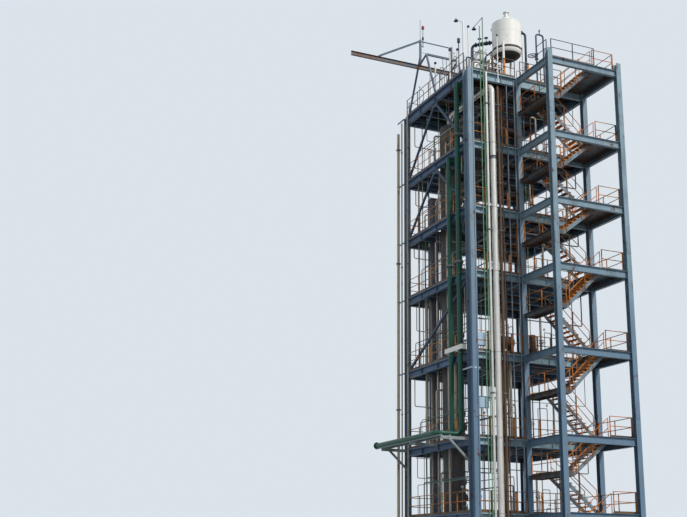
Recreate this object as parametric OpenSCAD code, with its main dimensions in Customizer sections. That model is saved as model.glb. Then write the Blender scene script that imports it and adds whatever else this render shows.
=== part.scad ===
// Distillation column in its open steel access tower: column, slim column, frame, stair, risers and top drum.
// Millimetres, +Z up. The origin is on the axis of the main column, on the ground under its plinth.
// +X runs along the front face of the frame and +Y runs back along its left face.

/* [Frame plan] */
// From the front left leg to the middle front leg
left_bay = 3250; // [2600:50:4500]
// From the middle front leg to the right front leg
right_bay = 4600; // [4400:50:6500]
// From the front legs to the rear legs
frame_depth = 7600; // [6600:50:9000]
// From the front legs to the outer legs of the stair tower
stair_depth = 3250; // [2900:50:4000]
// From the front left leg to the column axis, along the front face
column_from_left = 1350; // [1200:50:1700]
// From the front left leg to the column axis, along the left face
column_from_front = 4550; // [4300:50:4700]

/* [Storeys] */
// Ground to the first floor
storey_1 = 3250; // [2800:50:4500]
// First floor to the second
storey_2 = 3850; // [2800:50:4800]
// Second floor to the third
storey_3 = 4550; // [2800:50:4800]
// Third floor to the fourth
storey_4 = 4450; // [2800:50:4800]
// Fourth floor to the fifth
storey_5 = 3650; // [2800:50:4800]
// Fifth floor to the sixth
storey_6 = 3800; // [2800:50:4800]
// Sixth floor to the top deck
storey_7 = 4350; // [2800:50:4800]

/* [Steel sections] */
// Depth of the heavy front left leg
corner_leg_h = 550; // [400:10:650]
// Width of the heavy front left leg
corner_leg_b = 350; // [250:10:400]
// Depth of the other legs
leg_h = 300; // [260:10:340]
// Width of the other legs
leg_b = 300; // [240:10:340]
// Flange thickness of the legs
leg_flange = 20; // [14:1:24]
// Web thickness of the legs
leg_web = 14; // [9:1:18]
// Depth of the floor beams
beam_h = 380; // [300:10:440]
// Depth of the top deck beams
top_beam_h = 500; // [400:10:560]
// Width of the floor beams
beam_b = 200; // [160:10:210]
// Flange thickness of the floor beams
beam_flange = 16; // [10:1:20]
// Web thickness of the floor beams
beam_web = 10; // [7:1:14]
// Depth of the joists
joist_h = 240; // [180:10:280]
// Width of the joists
joist_b = 120; // [90:10:150]
// Depth of the diagonal braces
brace_h = 160; // [120:10:200]
// Width of the diagonal braces
brace_b = 90; // [60:5:100]
// Edge of a base plate
base_plate = 620; // [600:10:700]
// Thickness of a base plate
base_plate_t = 35; // [20:1:50]
// Diameter of an anchor bolt hole
anchor_d = 33; // [24:1:36]
// Distance between anchor bolt holes
anchor_pitch = 480; // [470:5:500]

/* [Floors] */
// Thickness of the grating decks
deck_t = 40; // [30:1:60]
// How far the decks reach past the leg lines
deck_edge = 100; // [80:5:120]
// Joists in the right bay
joists = 4; // [2:1:6]
// Side of the square deck opening for the main column
column_opening = 1500; // [1400:10:1600]
// Side of the square deck opening for the slim column
slim_opening = 880; // [820:10:900]
// Gap between a deck and the leg that passes it
leg_gap = 10; // [5:1:20]

/* [Rails] */
// Height of the handrails
rail_h = 1100; // [1000:10:1200]
// Thickness of posts and rails
rail_t = 42; // [30:1:50]
// Height of the toe plates
toe_h = 100; // [60:5:150]
// Thickness of the toe plates
toe_t = 8; // [5:1:12]
// Widest spacing of the posts
post_pitch = 1500; // [1000:50:1800]

/* [Stair] */
// Clear width of a flight with its stringers
flight_w = 1000; // [800:10:1100]
// Gap between the two lanes
lane_gap = 200; // [160:10:250]
// Length of the mid landings
mid_landing = 550; // [450:10:800]
// Length of the floor landings
floor_landing = 1550; // [1200:10:1700]
// Depth of a stringer
stringer_h = 260; // [200:10:300]
// Thickness of a stringer
stringer_t = 14; // [8:1:20]
// Depth of a tread
tread_d = 270; // [220:5:290]
// Thickness of a tread
tread_t = 35; // [25:1:45]
// Highest step
riser_max = 210; // [180:5:230]
// Depth of the landing edge channels
landing_h = 200; // [160:10:240]
// How far the stair legs rise past the top deck
stair_leg_over = 400; // [0:10:600]

/* [Main column] */
// Outer diameter of the column
column_d = 1250; // [900:10:1300]
// Wall of the column
column_wall = 16; // [10:1:25]
// Height of the concrete plinth
plinth_h = 400; // [200:10:800]
// Width of the plinth across its flats
plinth_w = 2100; // [1900:10:2600]
// Top of the skirt
skirt_top = 2400; // [2000:50:2600]
// Top of the straight shell
shell_top = 26100; // [25200:50:26200]
// Diameter of the insulated overhead line
vapour_d = 330; // [250:10:360]
// Diameter of the lines that leave the shell beside the column
side_line_d = 140; // [100:5:150]

/* [Slim column] */
// Outer diameter of the slim column
slim_d = 640; // [400:10:700]
// Wall of the slim column
slim_wall = 12; // [8:1:20]
// From the slim column axis to the rear legs
slim_from_rear = 800; // [760:10:1000]
// Top of its straight shell
slim_top = 22300; // [20500:50:22600]

/* [Risers] */
// Diameter of the green pipes
green_d = 270; // [200:5:300]
// First green pipe, from the front left leg
green_1 = 800; // [600:10:1000]
// Second green pipe, from the front left leg
green_2 = 1800; // [1500:10:2200]
// First light green pipe, from the front left leg
light_green_1 = 720; // [450:10:830]
// Second light green pipe, from the front left leg
light_green_2 = 920; // [860:10:930]
// Diameter of the light green pipes
light_green_d = 56; // [30:2:60]
// Silver pipe beside the overhead line, from the front left leg
silver_1 = 1050; // [1030:5:1100]
// Diameter of the silver pipe
silver_d = 150; // [100:5:150]
// Wide brown pipe, from the front left leg
brown_1 = 1790; // [1700:10:1800]
// Diameter of the wide brown pipe
brown_1_d = 150; // [50:5:160]
// Narrow brown pipe, from the front left leg
brown_2 = 1990; // [1960:10:2100]
// Diameter of the narrow brown pipe
brown_2_d = 80; // [50:5:100]
// First grey pipe, from the front left leg
grey_1 = 2410; // [2300:10:2500]
// Second grey pipe, from the front left leg
grey_2 = 2900; // [2700:10:2950]
// Diameter of the grey pipes
grey_d = 64; // [40:2:80]
// Foot of the risers over the ground
riser_foot = 500; // [300:10:900]
// Depth and height of the bars that carry the risers
riser_bar = 60; // [50:5:80]
// Reach of the pipe ledge from the left face
ledge_reach = 1800; // [1500:50:2000]
// Reach of the bars that carry the pipes behind the rear left leg
rear_bar = 900; // [860:10:1100]
// First of the rear pipes, in front of the rear leg
rear_1 = 450; // [350:10:600]
// Diameter of the first rear pipe
rear_1_d = 100; // [60:5:140]
// Second of the rear pipes, behind the rear leg
rear_2 = 350; // [250:10:450]
// Diameter of the second rear pipe
rear_2_d = 90; // [60:5:120]
// Third of the rear pipes, behind the rear leg
rear_3 = 750; // [600:10:760]
// Diameter of the third rear pipe
rear_3_d = 170; // [100:5:200]
// Play between a pipe and its bar
pipe_gap = 0.3; // [0.1:0.1:0.5]

/* [Top drum] */
// Diameter of the drum
drum_d = 1750; // [1200:10:1800]
// Wall of the drum
drum_wall = 12; // [8:1:20]
// Height of its straight shell
drum_h = 1820; // [1400:10:2000]
// Depth of its bottom head
drum_bottom = 540; // [300:10:600]
// Height of its legs
drum_leg_h = 2600; // [2400:10:3400]
// Diameter of its legs
drum_leg_d = 140; // [100:5:180]
// Drum axis from the front left leg, along the front face
drum_from_left = 3800; // [3600:50:5000]
// Drum axis from the front left leg, along the left face
drum_from_front = 1800; // [1500:50:2400]
// Diameter of the nozzle on its top head
drum_nozzle_d = 360; // [200:10:400]
// Diameter of the line on its left
drum_inlet_d = 170; // [100:5:200]
// Reach of the line on its left, from the drum axis
drum_inlet_reach = 2120; // [1800:10:2300]
// Diameter of the line on its right
drum_outlet_d = 140; // [100:5:160]
// Reach of the line on its right, from the drum axis
drum_outlet_reach = 1330; // [1300:10:1500]

/* [Lifting frame] */
// Height of the runway beam over the top deck
runway_z = 2750; // [2600:50:3400]
// Reach of the runway beam past the left face
runway_reach = 4700; // [3500:50:5000]
// Runway beam from the front left leg, along the left face
runway_from_front = 5750; // [5500:50:6000]
// Half the spread of the feet of the lifting frame
gallows_spread = 1600; // [1200:50:1650]
// Distance between the two frames that carry the runway beam
gallows_pitch = 2200; // [1800:50:2600]
// Height of the mast over the top deck
mast_top = 4500; // [4200:50:5200]
// Length of the lightning rod on the mast
lightning_rod = 1400; // [600:50:2000]

/* [Top fittings] */
// Height of the light pole
light_pole_h = 3850; // [3000:50:4500]
// Diameter of the light pole
light_pole_d = 120; // [60:5:150]
// Light pole from the front left leg, along the front face
light_pole_x = 660; // [500:10:900]
// Light pole from the front left leg, along the left face
light_pole_y = 1550; // [1200:10:1900]
// Diameter of the vent pipes
vent_d = 90; // [60:5:120]
// Pipe loop from the front left leg, along the front face
loop_x = 5630; // [5400:10:6400]
// Pipe loop from the front left leg, along the left face
loop_y = 1400; // [1200:10:2000]
// Distance between the legs of the pipe loop
loop_w = 510; // [400:10:700]
// Height of the pipe loop
loop_h = 4050; // [2600:10:4300]
// Diameter of the pipe loop
loop_d = 100; // [60:5:120]

/* [Floor equipment] */
// Diameter of the lying vessel on the third floor
lying_d = 700; // [500:10:800]
// Length of its straight shell
lying_len = 800; // [500:10:1200]
// Diameter of the upright vessel on the third floor
upright_d = 380; // [300:10:500]
// Height of its straight shell
upright_h = 950; // [600:10:1200]

/* [Hidden] */
$fn = 48;
x_left = -column_from_left;
x_mid = x_left + left_bay;
x_right = x_mid + right_bay;
y_front = -column_from_front;
y_rear = y_front + frame_depth;
y_stair = y_front - stair_depth;
storeys = [storey_1, storey_2, storey_3, storey_4, storey_5, storey_6, storey_7];
function level(n) = n == 0 ? 0 : level(n - 1) + storeys[n - 1];
floors = 7;
top = level(floors);
function depth(n) = n == floors ? top_beam_h : beam_h;
function steel_top(n) = level(n) - deck_t;
bar_x = x_left - deck_edge - riser_bar;
bar_y = y_front - deck_edge - riser_bar;
slim_y = y_rear - slim_from_rear;
rail_in = deck_edge - rail_t;
steel_gap = 0.5;
anchors = [for (i = [-1, 1], j = [-1, 1]) [i * anchor_pitch / 2, j * anchor_pitch / 2]];
steel_blue = [0.45, 0.56, 0.66];
rail_orange = [0.72, 0.38, 0.10];
pipe_green = [0.10, 0.28, 0.24];
cladding = [0.72, 0.69, 0.64];

// Shapes that repeat

// An H section, with its web along the Y axis of the sketch
module h_section(h, b, flange, web) {
  polygon([
    [-b / 2, -h / 2], [b / 2, -h / 2], [b / 2, flange - h / 2], [web / 2, flange - h / 2],
    [web / 2, h / 2 - flange], [b / 2, h / 2 - flange], [b / 2, h / 2], [-b / 2, h / 2],
    [-b / 2, h / 2 - flange], [-web / 2, h / 2 - flange], [-web / 2, flange - h / 2], [-b / 2, flange - h / 2]
  ]);
}

// A beam along X, with its top at z
module beam_x(x0, x1, y, z, h, b, flange = beam_flange, web = beam_web) {
  translate([x0, y, z - h / 2])
    rotate([90, 0, 90])
      linear_extrude(x1 - x0) h_section(h, b, flange, web);
}

// A beam along Y, with its top at z
module beam_y(y0, y1, x, z, h, b, flange = beam_flange, web = beam_web) {
  translate([x, y1, z - h / 2])
    rotate([90, 0, 0])
      linear_extrude(y1 - y0) h_section(h, b, flange, web);
}

// A straight bar of rectangular section from point p to point q
module bar(p, q, w, h) {
  d = q - p;
  translate(p)
    rotate([0, acos(d.z / norm(d)), atan2(d.y, d.x)])
      linear_extrude(norm(d)) square([h, w], center = true);
}

// A round rod or pipe from point p to point q
module rod(p, q, r) {
  d = q - p;
  translate(p)
    rotate([0, acos(d.z / norm(d)), atan2(d.y, d.x)])
      cylinder(h = norm(d), r = r);
}

// A quarter bend of bend radius bend, from the +X axis of its own plane to the +Y axis
module quarter_bend(r, bend) {
  rotate_extrude(angle = 90)
    translate([bend, 0]) circle(r);
}

// A closed or open tube
module tube(h, r, wall) {
  difference() {
    cylinder(h = h, r = r);
    translate([0, 0, -1]) cylinder(h = h + 2, r = r - wall);
  }
}

// A dished head that opens downward: a shell whose outer rise is rise
module dished_head(r, wall, rise) {
  steps = 12;
  outer = [for (i = [0:steps]) [r * cos(90 * i / steps), rise * sin(90 * i / steps)]];
  inner = [for (i = [steps:-1:0]) [(r - wall) * cos(90 * i / steps), (rise - wall) * sin(90 * i / steps)]];
  rotate_extrude() polygon(concat(outer, inner));
}

// A pipe through the points, with a quarter bend at each inner one; its stretches meet at right angles
module pipe_run(points, r, bend) {
  last = len(points) - 1;
  ways = [for (i = [1:last]) (points[i] - points[i - 1]) / norm(points[i] - points[i - 1])];
  for (i = [0:last - 1])
    rod(
      points[i] + (i > 0 ? bend : 0) * ways[i],
      points[i + 1] - (i < last - 1 ? bend : 0) * ways[i],
      r
    );
  for (i = [1:1:last - 1]) {
    x = -ways[i];
    y = ways[i - 1];
    z = cross(x, y);
    o = points[i] + bend * (ways[i] - ways[i - 1]);
    multmatrix([[x.x, y.x, z.x, o.x], [x.y, y.y, z.y, o.y], [x.z, y.z, z.z, o.z], [0, 0, 0, 1]])
      quarter_bend(r, bend);
  }
}

// A solid dome of radius r whose rise is rise
module dome(r, rise) {
  steps = 12;
  rotate_extrude() polygon(concat([[0, 0]], [for (i = [0:steps]) [r * cos(90 * i / steps), rise * sin(90 * i / steps)]]));
}

// A gate valve on an upright pipe of radius r, with its handwheel toward -X
module gate_valve(r) {
  face = 2.6 * r;
  plate = 22;
  for (s = [-1, 1])
    translate([0, 0, s * face - (s > 0 ? plate : 0)]) cylinder(h = plate, r = 1.9 * r);
  sphere(r = 1.5 * r);
  translate([-4 * r, 0, 0]) rotate([0, 90, 0]) cylinder(h = 4 * r, r = 0.35 * r);
  translate([-4 * r, 0, 0]) rotate([0, 90, 0]) {
    rotate_extrude() translate([1.7 * r, 0]) circle(0.22 * r);
    for (a = [0, 90])
      rotate(a) translate([-1.7 * r, -0.12 * r, -0.12 * r]) cube([3.4 * r, 0.24 * r, 0.24 * r]);
  }
}

// Handrail sketch: posts, top rail and knee rail over a length
module rail_sketch(len) {
  posts = max(1, ceil(len / post_pitch));
  for (i = [0:posts])
    translate([i * (len - rail_t) / posts, 0]) square([rail_t, rail_h]);
  for (z = [rail_h - rail_t, rail_h / 2])
    translate([0, z]) square([len, rail_t]);
}

// Handrail along X from x0 to x1, with its outer face at y
module rail_x(x0, x1, y, z) {
  translate([x0, y + rail_t, z])
    rotate([90, 0, 0]) {
      linear_extrude(rail_t) rail_sketch(x1 - x0);
      linear_extrude(toe_t) square([x1 - x0, toe_h]);
    }
}

// Handrail along Y from y0 to y1, with its outer face at x
module rail_y(y0, y1, x, z) {
  translate([x, y0, z])
    rotate([90, 0, 90]) {
      linear_extrude(rail_t) rail_sketch(y1 - y0);
      linear_extrude(toe_t) square([y1 - y0, toe_h]);
    }
}

// Main column

// Octagonal concrete foundation of the main column
module column_plinth() {
  color("silver")
    rotate(22.5)
      cylinder(h = plinth_h, r = plinth_w / 2 / cos(22.5), $fn = 8);
}

// Skirt with its base ring and two access openings
module column_skirt() {
  ring = 140;
  ring_t = 40;
  access_d = 500;
  color(steel_blue)
    difference() {
      union() {
        translate([0, 0, plinth_h]) cylinder(h = skirt_top - plinth_h, r = column_d / 2);
        translate([0, 0, plinth_h]) cylinder(h = ring_t, r = column_d / 2 + ring);
      }
      translate([0, 0, plinth_h - 1]) cylinder(h = skirt_top, r = column_d / 2 - column_wall);
      translate([0, -column_d, plinth_h + 900]) rotate([-90, 0, 0]) cylinder(h = column_d, r = access_d / 2);
    }
}

// Bottom head, hidden inside the top of the skirt
module column_bottom_head() {
  color(steel_blue)
    translate([0, 0, skirt_top])
      mirror([0, 0, 1]) dished_head(column_d / 2 - column_wall, column_wall, column_d / 4);
}

// Straight shell
module column_shell() {
  color([0.42, 0.50, 0.60])
    translate([0, 0, skirt_top]) tube(shell_top - skirt_top, column_d / 2, column_wall);
}

// Top head
module column_top_head() {
  color([0.42, 0.50, 0.60])
    difference() {
      translate([0, 0, shell_top]) dished_head(column_d / 2, column_wall, column_d / 4);
      translate([0, 0, shell_top]) cylinder(h = column_d, r = vapour_d / 2);
    }
}

// A nozzle that stands out of the shell toward an angle
module side_nozzle(angle, z, r, reach) {
  flange_t = 40;
  difference() {
    rotate([0, 0, angle])
      translate([0, 0, z])
        rotate([0, 90, 0]) {
          cylinder(h = column_d / 2 + reach, r = r);
          translate([0, 0, column_d / 2 + reach - flange_t]) cylinder(h = flange_t, r = r + 90);
        }
    translate([0, 0, z - 2 * r]) cylinder(h = 4 * r, r = column_d / 2);
  }
}

// Manways and nozzles of the main column, one manway over each floor
module column_nozzles() {
  manway_r = 250;
  manway_z = 950;
  color([0.42, 0.50, 0.60])
    for (n = [1:floors - 1]) {
      side_nozzle(-90, level(n) + manway_z, manway_r, 200);
      side_nozzle(15, level(n) + manway_z + 900, 80, 180);
    }
}

// Insulated overhead line, from the top head to the front face and down it
module overhead_line() {
  r = vapour_d / 2;
  bend = 1.5 * vapour_d;
  run_z = shell_top + column_d / 4 + bend + 100;
  foot_z = 600;
  y_riser = bar_y - pipe_gap - r;
  color("gainsboro") {
    translate([0, 0, shell_top + column_d / 4 - column_wall])
      cylinder(h = run_z - bend - shell_top - column_d / 4 + column_wall, r = r);
    translate([0, -bend, run_z - bend]) rotate([90, 0, 90]) quarter_bend(r, bend);
    rod([0, -bend, run_z], [0, y_riser + bend, run_z], r);
    translate([0, y_riser + bend, run_z - bend]) mirror([0, 1, 0]) rotate([90, 0, 90]) quarter_bend(r, bend);
    translate([0, y_riser, foot_z]) cylinder(h = run_z - bend - foot_z, r = r);
  }
}

// A line that leaves a vessel of radius r_shell at angle, runs out to reach and turns down to z_foot
module drop_line(r_shell, angle, reach, z, z_foot, d) {
  rotate([0, 0, angle])
    difference() {
      pipe_run([[r_shell / 2, 0, z], [reach, 0, z], [reach, 0, z_foot]], d / 2, 1.3 * d);
      translate([0, 0, z - d]) cylinder(h = 2 * d, r = r_shell);
    }
}

// Drop lines of the main column: floor on which they end, angle, reach, height over that floor, diameter
drops = [
  [1, 196, 1000, 2300, 110], [1, 300, 1500, 1900, 90], [2, 168, 980, 3100, 120], [2, 246, 1350, 2200, 90],
  [3, 190, 990, 2500, 90], [3, 297, 1500, 3000, 110], [4, 172, 970, 2900, 110], [4, 243, 1450, 1900, 80],
  [5, 194, 980, 2300, 100], [5, 340, 1500, 2500, 90], [6, 166, 980, 2100, 110], [6, 243, 1400, 2000, 90]
];

// Lines beside the main and the slim column: some pass the corners of the deck openings,
// the others end on a floor and carry a gate valve
module column_lines() {
  side_at = column_opening / 2 - side_line_d / 2 - 50;
  slim_line_d = 90;
  slim_at = slim_opening / 2 - slim_line_d / 2 - 30;
  valve_up = 1000;
  color(cladding) {
    for (line = [[-135, level(6) + 1500], [-45, level(4) + 1200], [135, level(5) + 2000], [45, level(3) + 2600]])
      drop_line(column_d / 2, line[0], side_at * sqrt(2), line[1], plinth_h + 200, side_line_d);
    translate([0, slim_y, 0])
      for (line = [[135, level(5) + 1700], [-135, level(4) + 2200]])
        drop_line(slim_d / 2, line[0], slim_at * sqrt(2), line[1], plinth_h + 200, slim_line_d);
    for (line = drops) {
      drop_line(column_d / 2, line[1], line[2], level(line[0]) + line[3], level(line[0]), line[4]);
      translate([line[2] * cos(line[1]), line[2] * sin(line[1]), level(line[0]) + valve_up])
        rotate(line[1] > 270 ? 180 : 0) gate_valve(line[4] / 2);
    }
  }
}

// Slim column

// Foundation of the slim column, cut back where it meets the one of the main column
module slim_plinth() {
  color("silver")
    difference() {
      translate([0, slim_y, 0])
        rotate(22.5) cylinder(h = plinth_h, r = slim_d, $fn = 8);
      translate([0, 0, -1])
        rotate(22.5) cylinder(h = plinth_h + 2, r = plinth_w / 2 / cos(22.5), $fn = 8);
    }
}

// Skirt of the slim column
module slim_skirt() {
  color(steel_blue)
    translate([0, slim_y, plinth_h]) {
      tube(skirt_top - plinth_h, slim_d / 2, slim_wall);
      tube(30, slim_d / 2 + 90, 90 + slim_wall);
    }
}

// Straight shell of the slim column
module slim_shell() {
  color([0.24, 0.32, 0.42])
    translate([0, slim_y, skirt_top]) tube(slim_top - skirt_top, slim_d / 2, slim_wall);
}

// Heads of the slim column
module slim_heads() {
  color([0.24, 0.32, 0.42])
    translate([0, slim_y, 0]) {
      translate([0, 0, slim_top]) dished_head(slim_d / 2, slim_wall, slim_d / 4);
      translate([0, 0, skirt_top])
        mirror([0, 0, 1]) dished_head(slim_d / 2 - slim_wall, slim_wall, slim_d / 4);
    }
}

// Guide lugs on the joists, which keep a column of radius r upright at every floor below z_top
module guide_lugs(y, r, trim, z_top) {
  lug = 100;
  for (n = [1:floors - 1], s = [-1, 1])
    if (level(n) < z_top)
      difference() {
        translate([-lug / 2, y + (s > 0 ? 0 : joist_b / 2 - trim), steel_top(n) - lug])
          cube([lug, trim - joist_b / 2, lug]);
        translate([0, y, steel_top(n) - lug - 1]) cylinder(h = lug + 2, r = r + pipe_gap);
      }
}

module column_guides() {
  color(steel_blue) {
    guide_lugs(0, column_d / 2, column_trim, shell_top);
    guide_lugs(slim_y, slim_d / 2, slim_trim, slim_top);
  }
}

// Frame

leg_places = [
  [x_mid, y_front], [x_right, y_front], [x_left, y_rear], [x_mid, y_rear], [x_right, y_rear]
];
stair_places = [[x_mid, y_stair], [x_right, y_stair]];

// Base plates with four anchor holes each
module base_plates() {
  color(steel_blue)
    for (p = concat([[x_left, y_front]], leg_places, stair_places))
      translate([p.x, p.y, 0])
        difference() {
          translate([-base_plate / 2, -base_plate / 2, 0]) cube([base_plate, base_plate, base_plate_t]);
          for (a = anchors)
            translate([a.x, a.y, -1]) cylinder(h = base_plate_t + 2, r = anchor_d / 2);
        }
}

// Legs of the main frame, the front left one heavier
module main_legs() {
  color(steel_blue) {
    translate([x_left, y_front, base_plate_t])
      linear_extrude(top - base_plate_t) h_section(corner_leg_h, corner_leg_b, leg_flange, leg_web);
    for (p = leg_places)
      translate([p.x, p.y, base_plate_t])
        linear_extrude(steel_top(floors) - base_plate_t) h_section(leg_h, leg_b, leg_flange, leg_web);
  }
}

// Half depth of a leg along Y, which is larger at the front left corner
function half_leg(x, y) = (x == x_left && y == y_front ? corner_leg_h : leg_h) / 2;

// Y places of the joists: evenly spaced in the right bay, along the column openings in the left
right_joists = [for (i = [1:joists]) y_front + frame_depth * i / (joists + 1)];
column_trim = (column_opening + joist_b) / 2;
slim_trim = (slim_opening + joist_b) / 2;
left_joists = [
  (y_front - column_trim) / 2, -column_trim, column_trim,
  slim_y - slim_trim, slim_y + slim_trim
];

// Joists of one bay between x0 and x1
module joists_of(x0, x1, places, z) {
  inset = beam_b / 2 + steel_gap;
  for (y = places)
    beam_x(x0 + inset, x1 - inset, y, z, joist_h, joist_b, beam_flange / 2, beam_web);
}

// The steel of one floor: edge beams between the legs, and joists between the beams along Y
module floor_steel(n) {
  z = steel_top(n);
  h = depth(n);
  color(steel_blue) {
    for (y = [y_front, y_rear]) {
      beam_x(x_left + leg_web / 2, x_mid - leg_web / 2, y, z, h, beam_b);
      beam_x(x_mid + leg_web / 2, x_right - leg_web / 2, y, z, h, beam_b);
    }
    for (x = [x_left, x_mid, x_right])
      beam_y(y_front + half_leg(x, y_front), y_rear - half_leg(x, y_rear), x, z, h, beam_b);
    joists_of(x_left, x_mid, left_joists, z);
    joists_of(x_mid, x_right, right_joists, z);
  }
}

module floor_beams_1() { floor_steel(1); }
module floor_beams_2() { floor_steel(2); }
module floor_beams_3() { floor_steel(3); }
module floor_beams_4() { floor_steel(4); }
module floor_beams_5() { floor_steel(5); }
module floor_beams_6() { floor_steel(6); }
module top_beams() { floor_steel(7); }

// A deck plate cut round the legs, and round the columns if they pass it
module deck(n, column_passes, slim_passes) {
  color([0.25, 0.24, 0.22])
    translate([0, 0, steel_top(n)])
      linear_extrude(deck_t)
        difference() {
          translate([x_left - deck_edge, y_front - deck_edge])
            square([x_right - x_left + 2 * deck_edge, frame_depth + 2 * deck_edge]);
          translate([x_left, y_front])
            square([corner_leg_b + 2 * leg_gap, corner_leg_h + 2 * leg_gap], center = true);
          if (n < floors)
            for (p = leg_places)
              translate(p) square([leg_b + 2 * leg_gap, leg_h + 2 * leg_gap], center = true);
          if (column_passes)
            square(column_opening, center = true);
          if (slim_passes)
            translate([0, slim_y]) square(slim_opening, center = true);
        }
}

module floor_decks() {
  for (n = [1:floors - 1])
    deck(n, true, level(n) < slim_top + slim_d);
}

module top_deck() {
  deck(floors, false, false);
}

// Handrails round the three outer sides and the front of a floor, open at the stair
module floor_rails(n) {
  z = level(n);
  y_out = y_front - deck_edge;
  clear = leg_b / 2 + leg_gap;
  color(rail_orange) {
    rail_y(y_front + corner_leg_h / 2, y_rear - leg_h / 2, x_left - deck_edge, z);
    rail_x(x_left + corner_leg_b / 2 + leg_gap, x_mid - clear, y_out, z);
    rail_x(x_mid + clear, x_right - floor_landing, y_out, z);
    rail_y(y_front + leg_h / 2, y_rear - leg_h / 2, x_right + rail_in, z);
    rail_x(x_left + clear, x_mid - clear, y_rear + rail_in, z);
    rail_x(x_mid + clear, x_right - clear, y_rear + rail_in, z);
  }
}

module lower_handrails() {
  for (n = [1:3]) floor_rails(n);
}

module upper_handrails() {
  for (n = [4:floors - 1]) floor_rails(n);
}

module top_handrails() {
  floor_rails(floors);
}

// A diagonal of the left face under floor n, from share a of the bay's length at its foot
// to share b at its head, trimmed to the stretch between the shares lo and hi
module left_brace(n, a, b, lo, hi) {
  over = 0.04;
  z0 = level(n - 1);
  z1 = steel_top(n) - depth(n);
  y0 = y_front + corner_leg_h / 2;
  span = y_rear - leg_h / 2 - y0;
  rise = z1 - z0;
  intersection() {
    translate([x_left - brace_b / 2, y0 + lo * span, z0]) cube([brace_b, (hi - lo) * span, rise]);
    bar(
      [x_left, y0 + (a - over * (b - a)) * span, z0 - over * rise],
      [x_left, y0 + (b + over * (b - a)) * span, z1 + over * rise],
      brace_b, brace_h
    );
  }
}

// Diagonals of the left face: two inverted Vs at the top and a single one lower down
module braces() {
  apart = 0.002;
  color([0.20, 0.30, 0.42])
    for (n = [6, 7]) {
      left_brace(n, 0, 0.5, 0, 0.5 - apart);
      left_brace(n, 1, 0.5, 0.5 + apart, 1);
    }
  color([0.40, 0.32, 0.27]) left_brace(4, 1, 0, 0, 1);
}

// Stair tower

outer_lane = y_stair + leg_h / 2 + 50;
inner_lane = outer_lane + flight_w + lane_gap;
x_mid_edge = x_mid + leg_b / 2 + mid_landing;
x_floor_edge = x_right - floor_landing;
function half_level(n) = (level(n - 1) + level(n)) / 2;

// Outer legs of the stair tower
module stair_legs() {
  color(steel_blue)
    for (p = stair_places)
      translate([p.x, p.y, base_plate_t])
        linear_extrude(top + stair_leg_over - base_plate_t) h_section(leg_h, leg_b, leg_flange, leg_web);
}

// Beams that tie the stair legs to the frame and to each other at every floor
module stair_ties() {
  color([0.55, 0.68, 0.75])
    for (n = [1:floors]) {
      z = steel_top(n);
      beam_x(x_mid + leg_web / 2, x_right - leg_web / 2, y_stair, z, beam_h, beam_b);
      for (x = [x_mid, x_right])
        beam_y(y_stair + leg_h / 2, y_front - leg_h / 2, x, z, beam_h, beam_b);
    }
}

// A landing: deck plate on a channel frame, from x0 to x1 across both lanes
module landing(x0, x1, y1, z) {
  y0 = outer_lane;
  edge = 12;
  color([0.55, 0.68, 0.75])
    difference() {
      translate([x0, y0, z - landing_h]) cube([x1 - x0, y1 - y0, landing_h]);
      translate([x0 + edge, y0 + edge, z - landing_h - 1])
        cube([x1 - x0 - 2 * edge, y1 - y0 - 2 * edge, landing_h - deck_t + 1]);
    }
}

// Landings halfway between the floors, on beams between the stair leg and the frame leg
module mid_landings() {
  y1 = y_front - leg_h / 2;
  for (n = [1:floors]) {
    z = half_level(n);
    landing(x_mid + beam_b / 2, x_mid_edge, y1, z);
    color([0.55, 0.68, 0.75])
      beam_y(y_stair + leg_h / 2, y_front - leg_h / 2, x_mid, z, landing_h, beam_b, 10, 8);
  }
}

// Landings at the floors, which lead on to the decks
module floor_landings() {
  for (n = [1:floors])
    landing(x_floor_edge, x_right - beam_b / 2, y_front - deck_edge, level(n));
}

// The part of a sketch of the stair that lies above the ground
module above_ground() {
  intersection() {
    children();
    translate([x_mid, 0]) square([right_bay, top + 2 * rail_h]);
  }
}

// A stringer sketch between two landing edges
module stringer_sketch(x0, z0, x1, z1, up) {
  above_ground()
    polygon([[x0, z0 - stringer_h + up], [x1, z1 - stringer_h + up], [x1, z1 + up], [x0, z0 + up]]);
}

// Pairs of stringers: outer flights rise to the right, inner flights rise to the left
module flight_stringers(lane, x0, z0, x1, z1) {
  for (y = [lane, lane + flight_w - stringer_t])
    translate([0, y + stringer_t, 0])
      rotate([90, 0, 0])
        linear_extrude(stringer_t) stringer_sketch(x0, z0, x1, z1, 60);
}

module stair_stringers() {
  color([0.55, 0.68, 0.75])
    for (n = [1:floors]) {
      flight_stringers(outer_lane, x_mid_edge, half_level(n), x_floor_edge, level(n));
      flight_stringers(inner_lane, x_mid_edge, half_level(n), x_floor_edge, level(n - 1));
    }
}

// Treads of one flight, between its stringers, from the lower edge to the upper one
module flight_treads(lane, x0, z0, x1, z1) {
  count = ceil((z1 - z0) / riser_max);
  run = (x1 - x0) / count;
  for (i = [1:count - 1])
    translate([
      x0 + (i - 0.5) * run - tread_d / 2,
      lane + stringer_t,
      z0 + i * (z1 - z0) / count - tread_t
    ])
      cube([tread_d, flight_w - 2 * stringer_t, tread_t]);
}

module stair_treads() {
  color(rail_orange)
    for (n = [1:floors]) {
      flight_treads(outer_lane, x_mid_edge, half_level(n), x_floor_edge, level(n));
      flight_treads(inner_lane, x_floor_edge, level(n - 1), x_mid_edge, half_level(n));
    }
}

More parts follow.
